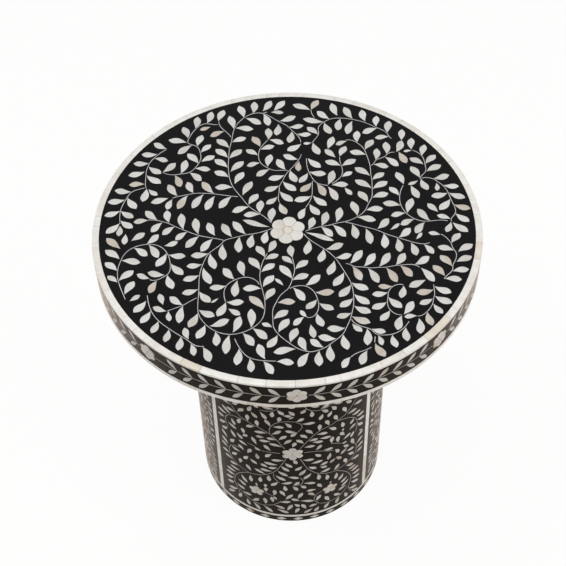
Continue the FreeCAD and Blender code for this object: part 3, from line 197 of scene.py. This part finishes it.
class Shader:
    """A material's node tree, with short calls to add and join nodes."""

    def __init__(self, name):
        self.material = bpy.data.materials.new(name)
        self.material.use_nodes = True
        self.tree = self.material.node_tree
        self.surface = self.tree.nodes["Principled BSDF"]

    def add(self, kind, **inputs):
        node = self.tree.nodes.new("ShaderNode" + kind)
        for key, value in inputs.items():
            self.set(node, key.replace("_", " "), value)
        return node

    def set(self, node, socket, value):
        """Give a socket a value, or join it to another node's socket."""
        target = node.inputs[socket]
        if isinstance(value, bpy.types.NodeSocket):
            self.tree.links.new(value, target)
        else:
            target.default_value = value

    def object_place(self, stretch=(1, 1, 1)):
        place = self.add("TexCoord").outputs["Object"]
        return self.add("Mapping", Vector=place, Scale=stretch).outputs["Vector"]

    def attribute(self, name):
        node = self.add("Attribute")
        node.attribute_name = name
        return node.outputs["Fac"]

    def noise(self, place, scale, detail=3.0, rough=0.5, shift=None):
        node = self.add("TexNoise")
        if shift is not None:
            node.noise_dimensions = "4D"
            self.set(node, "W", shift)
        for socket, value in (("Vector", place), ("Scale", scale), ("Detail", detail), ("Roughness", rough)):
            self.set(node, socket, value)
        return node.outputs["Fac"]

    def ramp(self, factor, *stops):
        node = self.add("ValToRGB", Fac=factor)
        points = node.color_ramp.elements
        while len(points) < len(stops):
            points.new(0.5)
        for point, (at, colour) in zip(points, stops):
            point.position = at
            point.color = (*colour, 1)
        return node.outputs["Color"]

    def span(self, factor, given, wanted):
        """Carry a factor from the given range to the wanted one, and hold it there."""
        node = self.add("MapRange", Value=factor)
        for socket, value in zip(("From Min", "From Max", "To Min", "To Max"), (*given, *wanted)):
            self.set(node, socket, value)
        return node.outputs["Result"]

    def sum(self, first, second):
        node = self.add("Math")
        self.set(node, 0, first)
        self.set(node, 1, second)
        return node.outputs["Value"]

    def mix(self, factor, first, second, blend="MIX"):
        node = self.add("Mix")
        node.data_type = "RGBA"
        node.blend_type = blend
        for socket, value in ((0, factor), (6, first), (7, second)):
            self.set(node, socket, value)
        return node.outputs[2]

    def bump(self, height, strength, distance):
        node = self.add("Bump", Height=height, Strength=strength, Distance=distance)
        self.set(self.surface, "Normal", node.outputs["Normal"])

    def finish(self, **inputs):
        for key, value in inputs.items():
            self.set(self.surface, key.replace("_", " "), value)
        return self.material


def bone_finish(name, brightness, tints):
    """Polished bone: each chip has its own tint that drifts a little, with clouds, streaks and pores. The
    clouds are partly the bone's own clouding and partly painted shade within each piece.
    """
    s = Shader(name)
    tint = s.attribute("tint")
    shift = s.span(tint, (0, 1), (0, 60))
    place = s.object_place()
    drift = s.span(s.noise(place, scale=60, detail=1, shift=shift), (0.3, 0.7), (-0.05, 0.05))
    stops = [(at, [brightness * c for c in colour]) for at, colour in tints]
    body = s.ramp(s.sum(tint, drift), *stops)
    # Darker random patches: partly the bone's own clouding, partly painted shade within the leaves and
    # pieces
    cloud = s.noise(place, scale=90, detail=3, rough=0.55, shift=shift)
    body = s.mix(s.span(cloud, (0.42, 0.70), (0, 0.8)), body, BONE_CLOUD_AND_SHADE, "MULTIPLY")
    streak = s.noise(s.object_place((1, 0.22, 1)), scale=700, detail=2, rough=0.6, shift=shift)
    body = s.mix(s.span(streak, (0.55, 0.80), (0, 0.5)), body, BONE_STREAK, "MULTIPLY")
    pores = s.noise(place, scale=2600, detail=2, shift=shift)
    body = s.mix(s.span(pores, (0.66, 0.78), (0, 0.6)), body, BONE_PORE, "MULTIPLY")
    s.bump(streak, 0.10, FINE_DEPTH)
    return s.finish(Base_Color=body, Roughness=s.span(cloud, (0.3, 0.7), (0.34, 0.50)), IOR=BONE_IOR,
                    Specular_IOR_Level=0.42)


def stem_finish(name, low, high):
    """Thin bone strip, greyer than the leaves, with dark flecks."""
    s = Shader(name)
    place = s.object_place()
    body = s.ramp(s.noise(place, scale=120, detail=3), (0.30, low), (0.70, high))
    flecks = s.noise(place, scale=900, detail=2)
    body = s.mix(s.span(flecks, (0.60, 0.75), (0, 0.4)), body, STEM_FLECK)
    s.bump(flecks, 0.08, FINE_DEPTH)
    return s.finish(Base_Color=body, Roughness=s.span(flecks, (0.3, 0.7), (0.36, 0.5)), IOR=BONE_IOR)


def resin_finish(name, body_tones, ior, shine, haze):
    """Black resin, sanded and polished: faint clouding, specks of bone dust and fine rubbed marks. Where it
    is less polished, a haze shows at a slant."""
    s = Shader(name)
    place = s.object_place()
    low, high = body_tones
    cloud = s.noise(place, scale=14, detail=4, rough=0.6)
    body = s.ramp(cloud, (0.3, low), (0.75, high))
    specks = s.noise(place, scale=1900, detail=1)
    body = s.mix(s.span(specks, (0.74, 0.80), (0, 0.30)), body, BONE_DUST)
    rubbed = s.noise(s.object_place((1, 0.08, 1)), scale=900, detail=3, rough=0.6)
    s.bump(rubbed, 0.05, FINE_DEPTH)
    return s.finish(Base_Color=body, Roughness=s.span(rubbed, (0.3, 0.7), (0.26, 0.40)), IOR=ior,
                    Specular_Tint=shine, Sheen_Weight=haze, Sheen_Roughness=HAZE_ROUGHNESS, Sheen_Tint=shine)


def board_finish():
    """Plain sanded hardwood with straight grain."""
    s = Shader("board_wood")
    grain = s.noise(s.object_place((1.0, 14.0, 14.0)), scale=16, detail=5, rough=0.6)
    body = s.ramp(grain, *WOOD_GRAIN)
    pores = s.noise(s.object_place((0.06, 1, 1)), scale=1400, detail=2)
    body = s.mix(s.span(pores, (0.60, 0.72), (0, 0.6)), body, WOOD_PORE)
    s.bump(pores, 0.15, WOOD_DEPTH)
    return s.finish(Base_Color=body, Roughness=s.span(grain, (0.3, 0.7), (0.55, 0.7)))


def screw_finish():
    """Zinc-plated steel with a brushed sheen."""
    s = Shader("zinc_screw")
    brushed = s.noise(s.object_place((1, 1, 0.1)), scale=900, detail=3)
    body = s.ramp(brushed, *ZINC)
    return s.finish(Base_Color=body, Metallic=1.0, Roughness=s.span(brushed, (0.3, 0.7), (0.28, 0.42)))


def felt_finish():
    """Dense dark felt with loose fibres."""
    s = Shader("pad_felt")
    fibres = s.noise(s.object_place(), scale=1600, detail=5, rough=0.7)
    body = s.ramp(fibres, *FELT)
    s.bump(fibres, 0.6, FELT_DEPTH)
    return s.finish(Base_Color=body, Roughness=0.95, Sheen_Weight=0.3)


# Meshes


def new_piece(name, mesh, material=None):
    piece = bpy.data.objects.new(name, mesh)
    bpy.context.scene.collection.objects.link(piece)
    if material:
        mesh.materials.clear()
        mesh.materials.append(material)
    return piece


def smooth(mesh, degrees):
    """Shade round stretches smooth and keep real edges sharp."""
    mesh.polygons.foreach_set("use_smooth", [True] * len(mesh.polygons))
    mesh.set_sharp_from_angle(angle=math.radians(degrees))


def merged(node):
    """A copy of a CAD node's mesh with its loose triangles joined."""
    mesh = bmesh.new()
    mesh.from_mesh(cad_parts[node].data)
    bmesh.ops.remove_doubles(mesh, verts=mesh.verts, dist=TOUCH)
    return mesh


def islands(mesh):
    """The separate solids of a merged mesh, each as a list of vertices."""
    seen = set()
    found = []
    for start in mesh.verts:
        if start in seen:
            continue
        seen.add(start)
        group = [start]
        for vert in group:
            for edge in vert.link_edges:
                other = edge.other_vert(vert)
                if other not in seen:
                    seen.add(other)
                    group.append(other)
        found.append(group)
    return found


def mesh_data(mesh, name):
    """Keep a built mesh as mesh data."""
    data = bpy.data.meshes.new(name)
    mesh.to_mesh(data)
    mesh.free()
    return data


def closed_data(mesh, name):
    """Keep a built closed mesh as mesh data, with its faces outwards."""
    bmesh.ops.recalc_face_normals(mesh, faces=mesh.faces)
    return mesh_data(mesh, name)


def skin(mesh, rings, goes_round=False):
    """Faces from each ring of vertices to the next, with flat ends unless the row of rings goes round."""
    pairs = list(zip(rings, rings[1:]))
    if goes_round:
        pairs.append((rings[-1], rings[0]))
    for near, far in pairs:
        for i in range(len(near)):
            j = (i + 1) % len(near)
            mesh.faces.new((near[i], near[j], far[j], far[i]))
    if not goes_round:
        mesh.faces.new(rings[0])
        mesh.faces.new(rings[-1][::-1])


# Geometry Nodes


class Tree:
    """A geometry node tree with named inputs."""

    def __init__(self, name, **inputs):
        self.tree = bpy.data.node_groups.new(name, "GeometryNodeTree")
        face = self.tree.interface
        face.new_socket("Geometry", in_out="INPUT", socket_type="NodeSocketGeometry")
        for key, kind in inputs.items():
            face.new_socket(key.replace("_", " "), in_out="INPUT", socket_type="NodeSocket" + kind)
        face.new_socket("Geometry", in_out="OUTPUT", socket_type="NodeSocketGeometry")
        self.inputs = self.tree.nodes.new("NodeGroupInput").outputs
        self.result = self.tree.nodes.new("NodeGroupOutput").inputs[0]

    def add(self, kind, settings=None, **inputs):
        node = self.tree.nodes.new(kind)
        for key, value in (settings or {}).items():
            setattr(node, key, value)
        for key, value in inputs.items():
            self.set(node.inputs[key.replace("_", " ")], value)
        return node

    def set(self, target, value):
        if isinstance(value, bpy.types.NodeSocket):
            self.tree.links.new(value, target)
        else:
            target.default_value = value

    def math(self, operation, first, second=0.0):
        node = self.add("ShaderNodeMath", {"operation": operation})
        self.set(node.inputs[0], first)
        self.set(node.inputs[1], second)
        return node.outputs[0]

    def vector(self, operation, first, second=None, scale=None):
        node = self.add("ShaderNodeVectorMath", {"operation": operation})
        self.set(node.inputs[0], first)
        if second is not None:
            self.set(node.inputs[1], second)
        if scale is not None:
            self.set(node.inputs["Scale"], scale)
        return node.outputs[0]

    def combine(self, **parts):
        return self.add("ShaderNodeCombineXYZ", **parts).outputs[0]

    def split(self, vector):
        return self.add("ShaderNodeSeparateXYZ", Vector=vector).outputs

    def position(self):
        return self.add("GeometryNodeInputPosition").outputs[0]

    def index(self):
        return self.add("GeometryNodeInputIndex").outputs[0]

    def attribute(self, name, kind):
        node = self.add("GeometryNodeInputNamedAttribute", {"data_type": kind}, Name=name)
        return node.outputs["Attribute"]

    def form(self, key):
        """The mesh of the object that an input names."""
        return self.add("GeometryNodeObjectInfo", Object=self.inputs[key]).outputs["Geometry"]

    def chance(self, key, seed):
        """A fixed random share from 0 to 1 for each key."""
        node = self.add("FunctionNodeRandomValue", {"data_type": "FLOAT"}, ID=key, Seed=seed)
        return node.outputs[1]

    def tinted(self, geometry, domain, key):
        """Store a tint by chance for each key."""
        node = self.add("GeometryNodeStoreNamedAttribute", {"data_type": "FLOAT", "domain": domain},
                        Geometry=geometry, Name="tint", Value=self.chance(key, self.inputs["Seed"]))
        return node.outputs["Geometry"]

    def moved(self, geometry, **change):
        return self.add("GeometryNodeSetPosition", Geometry=geometry, **change).outputs[0]

    def realized(self, geometry):
        return self.add("GeometryNodeRealizeInstances", Geometry=geometry).outputs[0]

    def finish(self, geometry):
        """Realize, give the material and end the tree."""
        dressed = self.add("GeometryNodeSetMaterial", Geometry=self.realized(geometry),
                           Material=self.inputs["Material"])
        self.tree.links.new(dressed.outputs[0], self.result)
        return self.tree


def grown(name, base, tree, break_above=ROUND_BREAK, **values):
    """Run a tree on a base mesh and keep the result as a plain mesh."""
    piece = new_piece(name, base)
    modifier = piece.modifiers.new(tree.name, "NODES")
    modifier.node_group = tree
    for item in tree.interface.items_tree:
        key = item.name.replace(" ", "_")
        if item.in_out == "INPUT" and key in values:
            modifier[item.identifier] = values[key]
    graph = bpy.context.evaluated_depsgraph_get()
    mesh = bpy.data.meshes.new_from_object(piece.evaluated_get(graph), depsgraph=graph)
    piece.modifiers.clear()
    piece.data = mesh
    bpy.data.meshes.remove(base)
    mesh.name = name
    smooth(mesh, break_above)
    return piece


def wrapped(t, geometry, radius):
    """Bend chips from their own tangent planes onto the round face, by their stored lift."""
    place = t.position()
    way = t.vector("NORMALIZE", t.vector("MULTIPLY", place, (1, 1, 0)))
    out = t.vector("SCALE", way, scale=t.math("ADD", radius, t.attribute("lift", "FLOAT")))
    level = t.combine(Z=t.split(place)["Z"])
    return t.moved(geometry, Position=t.vector("ADD", out, level),
                   Selection=t.math("GREATER_THAN", radius, 0.0))


def leaf_layer_tree():
    """Lays a bone leaf on each point and bends its foot: aim, out, size, across and bend are the point's."""
    t = Tree("lay_bone_leaves", Leaf_Form="Object", Round_Radius="Float", Seed="Int", Material="Material")
    turn = t.add("FunctionNodeAxesToRotation", {"primary_axis": "Z", "secondary_axis": "X"},
                 Primary_Axis=t.attribute("out", "FLOAT_VECTOR"),
                 Secondary_Axis=t.attribute("aim", "FLOAT_VECTOR"))
    laid = t.add("GeometryNodeInstanceOnPoints", Points=t.inputs["Geometry"], Instance=t.form("Leaf Form"),
                 Rotation=turn.outputs[0], Scale=t.attribute("size", "FLOAT_VECTOR"))
    real = t.realized(t.tinted(laid.outputs[0], "INSTANCE", t.index()))
    reach = t.math("MULTIPLY", t.attribute("bend", "FLOAT"), t.attribute("foot", "FLOAT"))
    bent = t.moved(real, Offset=t.vector("SCALE", t.attribute("across", "FLOAT_VECTOR"), scale=reach))
    return t.finish(wrapped(t, bent, t.inputs["Round Radius"]))


def tint_tree():
    """Gives every separate solid of a mesh its own tint."""
    t = Tree("tint_each_piece", Seed="Int", Material="Material")
    island = t.add("GeometryNodeInputMeshIsland").outputs["Island Index"]
    return t.finish(t.tinted(t.inputs["Geometry"], "POINT", island))


def ring_tree():
    """A ring of short bone pieces: each is a unit piece along X, stretched, set and bent to the ring.
    The bend mirrors it, so its faces are flipped to look outwards again."""
    t = Tree("ring_of_bone_pieces", Piece="Object", Count="Int", Radius="Float", Height="Float",
             Joint="Float", Seed="Int", Material="Material")
    count = t.inputs["Count"]
    radius = t.inputs["Radius"]

    def cut(index):
        """Where the joint before a piece lies, counted in pieces round the ring."""
        waves = []
        for height, rate, shift in JOINT_WAVES:
            swing = t.math("SINE", t.math("ADD", t.math("MULTIPLY", index, rate), shift))
            waves.append(t.math("MULTIPLY", swing, height))
        return t.math("ADD", index, t.math("ADD", *waves))

    step = t.math("DIVIDE", t.math("MULTIPLY", radius, FULL_TURN), count)
    number = t.index()
    after = t.math("ADD", number, 1.0)
    round_again = t.math("MULTIPLY", t.math("COMPARE", after, count), count)
    low = cut(number)
    high = t.math("ADD", cut(t.math("SUBTRACT", after, round_again)), round_again)
    room = t.math("MULTIPLY", t.math("SUBTRACT", high, low), step)
    length = t.math("SUBTRACT", room, t.inputs["Joint"])

    line = t.add("GeometryNodeMeshLine", {"mode": "OFFSET"}, Count=count, Offset=(0, 0, 0))
    start = t.combine(X=t.math("MULTIPLY", low, step), Z=t.inputs["Height"])
    laid = t.add("GeometryNodeInstanceOnPoints", Points=t.moved(line.outputs[0], Position=start),
                 Instance=t.form("Piece"), Scale=t.combine(X=length, Y=1.0, Z=1.0))
    real = t.realized(t.tinted(laid.outputs[0], "INSTANCE", t.index()))

    place = t.split(t.position())
    angle = t.math("DIVIDE", place["X"], radius)
    reach = t.math("ADD", radius, place["Y"])
    bent = t.combine(X=t.math("MULTIPLY", t.math("SINE", angle), reach),
                     Y=t.math("MULTIPLY", t.math("COSINE", angle), t.math("MULTIPLY", reach, -1.0)),
                     Z=place["Z"])
    outwards = t.add("GeometryNodeFlipFaces", Mesh=t.moved(real, Position=bent))
    return t.finish(outwards.outputs[0])


# Bone shapes


def leaf_form():
    """A unit bone leaf along X, a metre long and wide, crowned, with a soft edge and a skirt into the resin.
    Its heights are real sizes, and lift keeps them for bending onto a round face. foot is how far a place
    follows the bend of the leaf's foot."""
    shoulder, shoulder_crown = LEAF_SHOULDER
    rows = [(1.0, -CHIP_SKIRT), (1.0, -CHIP_EDGE), (LEAF_EDGE_AT, 0.0),
            (shoulder, shoulder_crown * CHIP_CROWN), (0.0, CHIP_CROWN)]
    profile = rows + [(-side, high) for side, high in rows[-2::-1]]
    mesh = bmesh.new()
    lift = mesh.verts.layers.float.new("lift")
    foot = mesh.verts.layers.float.new("foot")
    rings = []
    for s in LEAF_STATIONS:
        near_share = 3 * (1 - s) ** 2 * s
        far_share = 3 * (1 - s) * s * s
        along = near_share * LEAF_NEAR[0] + far_share * LEAF_FAR[0] + s ** 3
        half = max(near_share * LEAF_NEAR[1] + far_share * LEAF_FAR[1], LEAF_END_HALF)
        ring = []
        for side, high in profile:
            vert = mesh.verts.new((along, side * half, high))
            vert[lift] = high
            vert[foot] = near_share
            ring.append(vert)
        rings.append(ring)
    skin(mesh, rings)
    return bpy.data.objects.new("leaf_form", closed_data(mesh, "leaf_form"))


def unit_strip(name, deep, high, ease):
    """A unit piece along X: deep inwards from the ring's face and high upwards, with eased long edges and
    ends drawn in a little."""
    shoulder = EASE_SHOULDER * ease
    profile = [(-deep, 0), (-BACK_EASE, 0), (0, BACK_EASE), (0, high - ease), (-shoulder, high - shoulder),
               (-ease, high), (-deep + BACK_EASE, high), (-deep, high - BACK_EASE)]
    inner = [i / PIECE_STEPS for i in range(1, PIECE_STEPS)]
    mesh = bmesh.new()
    rings = []
    for s in [0.0, PIECE_END] + inner + [1 - PIECE_END, 1.0]:
        draw = END_DRAW if s in (0.0, 1.0) else 0.0
        rings.append([mesh.verts.new((s, y - draw if y == 0 else y, z - draw if z == high else z))
                      for y, z in profile])
    skin(mesh, rings)
    return bpy.data.objects.new(name, closed_data(mesh, name))


def band(face, base, tip, out, share):
    """The middle and the width of a leaf's outline at a share of the way from its base to its tip."""
    length = np.linalg.norm(tip - base)
    aim = (tip - base) / length
    along = (face - base) @ aim / length
    side = (face - base) @ np.cross(out, aim)
    edges = []
    for way in (side > -TOUCH, side < TOUCH):
        order = np.argsort(along[way])
        edges.append(np.interp(share, along[way][order], side[way][order]))
    return (edges[0] + edges[1]) / 2, edges[0] - edges[1]


def leaf_lie(places, is_round):
    """How one CAD leaf lies: its base, the bend of its foot, and the ways and the size of a leaf there."""
    middle = places.mean(axis=0)
    out = np.array((middle[0], middle[1], 0.0)) if is_round else np.array((0.0, 0.0, 1.0))
    out /= np.linalg.norm(out)
    heights = places @ out
    face = places[heights > (heights.max() + heights.min()) / 2]
    gaps = np.linalg.norm(face[:, None] - face[None], axis=2)
    length = gaps.max()
    base, tip = [face[end] for end in np.unravel_index(gaps.argmax(), gaps.shape)]
    if band(face, base, tip, out, NARROW_END_AT)[1] > band(face, tip, base, out, NARROW_END_AT)[1]:
        base, tip = tip, base
    aim = (tip - base) / length
    across = np.cross(out, aim)
    side = (face - base) @ across
    bend = band(face, base, tip, out, BEND_AT)[0] / BEND_SHARE
    return base, bend, {"aim": aim, "out": out, "across": across, "size": (length, np.ptp(side), 1.0)}


def leaf_points(node, is_round):
    """A point at each CAD leaf's base, with aim, out, across, size and bend."""
    mesh = merged(node)
    lies = [leaf_lie(np.array([v.co for v in group]), is_round) for group in islands(mesh)]
    mesh.free()
    bases, bends, ways = zip(*lies)
    points = bpy.data.meshes.new(node + "_points")
    points.from_pydata([tuple(base) for base in bases], [], [])
    for name in ways[0]:
        values = np.array([way[name] for way in ways], dtype=np.float32)
        points.attributes.new(name, "FLOAT_VECTOR", "POINT").data.foreach_set("vector", values.ravel())
    points.attributes.new("bend", "FLOAT", "POINT").data.foreach_set("value", bends)
    return points


# Pieces


def dress(piece, slot, *nodes):
    """Fix a finished piece to the table, and hide the CAD nodes that it stands for."""
    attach(piece, "root")
    if nodes:
        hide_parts(*nodes)


def lay_leaves(top_bone, wall_bone):
    """Every bone leaf of the top, the edge and the drum's panels."""
    tree = leaf_layer_tree()
    form = leaf_form()
    layers = [("top_vine_leaves", 0.0), ("edge_laurel_leaves", TOP_R)]
    layers += [("drum_leaves_" + panel, DRUM_R) for panel in PANELS]
    for seed, (node, radius) in enumerate(layers, LEAF_SEED):
        points = leaf_points(node, radius > 0)
        piece = grown(node + "_bone", points, tree, Leaf_Form=form, Round_Radius=radius, Seed=seed,
                      Material=wall_bone if radius else top_bone)
        dress(piece, "bone", node)
    bpy.data.objects.remove(form)


def lay_rings(bone):
    """The rim, the strip under the edge band and the line at the drum's foot, in short bone pieces."""
    tree = ring_tree()
    rings = (("top_rim_bone", TOP_R, FIELD_R, RIM_PIECES, RIM_EASE),
             ("edge_lower_bone_strip", TOP_R, CORE_R, STRIP_PIECES, STRIP_EASE),
             ("base_bone_line", DRUM_R, SHELL_R, LINE_PIECES, STRIP_EASE))
    for seed, (node, outer, inner, count, ease) in enumerate(rings, RING_SEED):
        low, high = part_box(node)
        strip = unit_strip(node + "_piece", outer - inner, high.z - low.z, ease)
        empty = bpy.data.meshes.new(node)
        piece = grown(node + "_pieces", empty, tree, Piece=strip, Count=count, Radius=outer, Height=low.z,
                      Joint=RING_JOINT, Seed=seed, Material=bone)
        dress(piece, "bone", node)
        bpy.data.objects.remove(strip)


def finish_chips(node, tree, material, ease, seed):
    """A CAD node's chips with eased edges and a tint each."""
    mesh = merged(node)
    bmesh.ops.dissolve_limit(mesh, angle_limit=math.radians(FLAT_BELOW), verts=mesh.verts, edges=mesh.edges)
    sharp = [e for e in mesh.edges
             if len(e.link_faces) == 2 and e.calc_face_angle(0) > math.radians(EASED_ABOVE)]
    bmesh.ops.bevel(mesh, geom=sharp, offset=ease, segments=EASE_SEGMENTS, affect="EDGES",
                    clamp_overlap=True)
    bmesh.ops.triangulate(mesh, faces=[f for f in mesh.faces if len(f.verts) > 4])
    piece = grown(node + "_bone", mesh_data(mesh, node), tree, CHIP_BREAK, Seed=seed, Material=material)
    dress(piece, "bone", node)


def round_skin(name, low_angle, high_angle, z_low, z_high, inner, outer, columns):
    """A smooth round wall, or a stretch of one: angles run from the front, about +Z."""
    goes_round = high_angle - low_angle > FULL_TURN - TOUCH
    corners = ((inner, z_low), (outer, z_low), (outer, z_high), (inner, z_high))
    mesh = bmesh.new()
    rings = []
    for i in range(columns if goes_round else columns + 1):
        angle = low_angle + (high_angle - low_angle) * i / columns
        way = Vector((math.sin(angle), -math.cos(angle), 0))
        rings.append([mesh.verts.new(way * r + Vector((0, 0, z))) for r, z in corners])
    skin(mesh, rings, goes_round)
    data = closed_data(mesh, name)
    smooth(data, ROUND_BREAK)
    return data


def lay_top_resin(resin):
    """The black field of the top, a disc."""
    disc = bmesh.new()
    rim = bmesh.ops.create_circle(disc, cap_ends=True, segments=ROUND_COLUMNS, radius=FIELD_R)["verts"]
    bmesh.ops.translate(disc, verts=rim, vec=(0, 0, FIELD_Z))
    raised = bmesh.ops.extrude_face_region(disc, geom=disc.faces[:])["geom"]
    raised = [v for v in raised if isinstance(v, bmesh.types.BMVert)]
    bmesh.ops.translate(disc, verts=raised, vec=(0, 0, TOP_Z - FIELD_Z - RESIN_BELOW))
    data = closed_data(disc, "top_resin")
    dress(new_piece("top_resin", data, resin), "black_resin", "top_resin_field")


def lay_band_resin(resin):
    """The black bands round the top's edge and the drum's foot."""
    for node, radius, core in (("edge_resin_band", TOP_R, CORE_R), ("base_resin_band", DRUM_R, SHELL_R)):
        low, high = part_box(node)
        data = round_skin(node + "_skin", 0, FULL_TURN, low.z, high.z, core, radius - RESIN_BELOW,
                          ROUND_COLUMNS)
        dress(new_piece(node + "_skin", data, resin), "black_resin", node)


def lay_panel_resin(resin):
    """The four black panels of the drum, as wide as their CAD nodes."""
    for panel, middle in zip(PANELS, (0, math.pi / 2, math.pi, -math.pi / 2)):
        node = "drum_resin_" + panel
        low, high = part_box(node)
        turns = []
        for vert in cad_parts[node].data.vertices:
            angle = math.atan2(vert.co.x, -vert.co.y) - middle
            turns.append((angle + math.pi) % FULL_TURN - math.pi)
        data = round_skin(node + "_skin", middle + min(turns), middle + max(turns), low.z, high.z, SHELL_R,
                          DRUM_R - RESIN_BELOW, PANEL_COLUMNS)
        dress(new_piece(node + "_skin", data, resin), "black_resin", node)


def dress_cad(nodes, material):
    """Give CAD nodes that stay a finish."""
    for node in nodes:
        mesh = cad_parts[node].data
        mesh.materials.clear()
        mesh.materials.append(material)


# Stage, light and camera


def sight(tree):
    """1 for a ray from the camera, a reflection or glass, and 0 for one that only carries light."""
    path = tree.nodes.new("ShaderNodeLightPath").outputs
    seen = path["Is Camera Ray"]
    for ray in ("Is Glossy Ray", "Is Transmission Ray"):
        either = tree.nodes.new("ShaderNodeMath")
        either.operation = "MAXIMUM"
        tree.links.new(seen, either.inputs[0])
        tree.links.new(path[ray], either.inputs[1])
        seen = either.outputs[0]
    return seen


def set_stage():
    """A pale floor: what looks at it sees it nearly white, and it keeps a soft shadow."""
    s = Shader("pale_floor")
    body = s.ramp(s.noise(s.object_place(), scale=30, detail=3), *FLOOR_PAINT)
    paint = s.finish(Base_Color=body, Roughness=0.9, Specular_IOR_Level=0.1)
    white = s.add("Emission", Color=WHITE, Strength=1.0)
    blend = s.add("MixShader", Fac=s.span(sight(s.tree), (0, 1), (0, FLOOR_WHITE)))
    s.set(blend, 1, s.surface.outputs[0])
    s.set(blend, 2, white.outputs[0])
    s.set(s.tree.nodes["Material Output"], "Surface", blend.outputs[0])
    mesh = bmesh.new()
    bmesh.ops.create_grid(mesh, x_segments=1, y_segments=1, size=FLOOR_HALF)
    new_piece("floor", mesh_data(mesh, "floor"), paint)


def set_lamps():
    """Large soft lamps, all aimed at the table."""
    for name, place, size, watts, colour in LAMPS:
        lamp = bpy.data.lights.new(name, "AREA")
        lamp.shape = "DISK"
        lamp.size = size
        lamp.energy = watts
        lamp.color = colour
        light = bpy.data.objects.new(name, lamp)
        light.location = place
        light.rotation_euler = (Vector(LAMP_AIM) - Vector(place)).to_track_quat("-Z", "Y").to_euler()
        bpy.context.scene.collection.objects.link(light)


def set_world():
    """A dim even light that looks white."""
    world = bpy.data.worlds.new("studio")
    bpy.context.scene.world = world
    world.use_nodes = True
    tree = world.node_tree
    blend = tree.nodes.new("ShaderNodeMixShader")
    tree.links.new(sight(tree), blend.inputs[0])
    for place, strength in ((1, WORLD_LIGHT), (2, 1.0)):
        background = tree.nodes.new("ShaderNodeBackground")
        background.inputs["Color"].default_value = WHITE
        background.inputs["Strength"].default_value = strength
        tree.links.new(background.outputs[0], blend.inputs[place])
    tree.links.new(blend.outputs[0], tree.nodes["World Output"].inputs["Surface"])


def set_camera():
    """Aim at the target from in front and above, with a slight roll."""
    back = Vector((0, -math.cos(CAMERA_RISE), math.sin(CAMERA_RISE)))
    level_up = Vector((0, math.sin(CAMERA_RISE), math.cos(CAMERA_RISE)))
    level_right = Vector((1, 0, 0))
    right = level_right * math.cos(CAMERA_ROLL) + level_up * math.sin(CAMERA_ROLL)
    up = level_up * math.cos(CAMERA_ROLL) - level_right * math.sin(CAMERA_ROLL)
    lens = bpy.data.cameras.new("camera")
    lens.sensor_width = SENSOR
    lens.lens = FOCAL / IMAGE * SENSOR
    camera = bpy.data.objects.new("camera", lens)
    turn = Matrix((right, up, back)).transposed()
    camera.matrix_world = Matrix.Translation(CAMERA_TARGET + back * CAMERA_AWAY) @ turn.to_4x4()
    bpy.context.scene.collection.objects.link(camera)
    bpy.context.scene.camera = camera


bone = {name: bone_finish(name, *look) for name, look in BONE_FINISHES.items()}
lay_leaves(bone["bone_leaf"], bone["bone_wall_leaf"])
lay_rings(bone["bone_piece"])
tints = tint_tree()
for chip_node, finish, eased, chip_seed in CHIPS:
    finish_chips(chip_node, tints, bone[finish], eased, chip_seed)
top_resin = resin_finish("top_black_resin", TOP_RESIN, TOP_RESIN_IOR, TOP_RESIN_SHINE, haze=0.0)
wall_resin = resin_finish("wall_black_resin", WALL_RESIN, WALL_RESIN_IOR, WALL_RESIN_SHINE, haze=1.0)
lay_top_resin(top_resin)
lay_band_resin(wall_resin)
lay_panel_resin(wall_resin)
dress_cad(("top_vine_stems",), stem_finish("bone_stem_top", *TOP_STEM))
dress_cad(WALL_STEM_NODES, stem_finish("bone_stem_wall", *WALL_STEM))
dress_cad(HIDDEN_WOOD, board_finish())
dress_cad(("cleat_screws", "top_fixing_screws"), screw_finish())
dress_cad(("floor_pads",), felt_finish())
set_stage()
set_lamps()
set_world()
set_camera()
bpy.context.scene.view_settings.view_transform = "Standard"
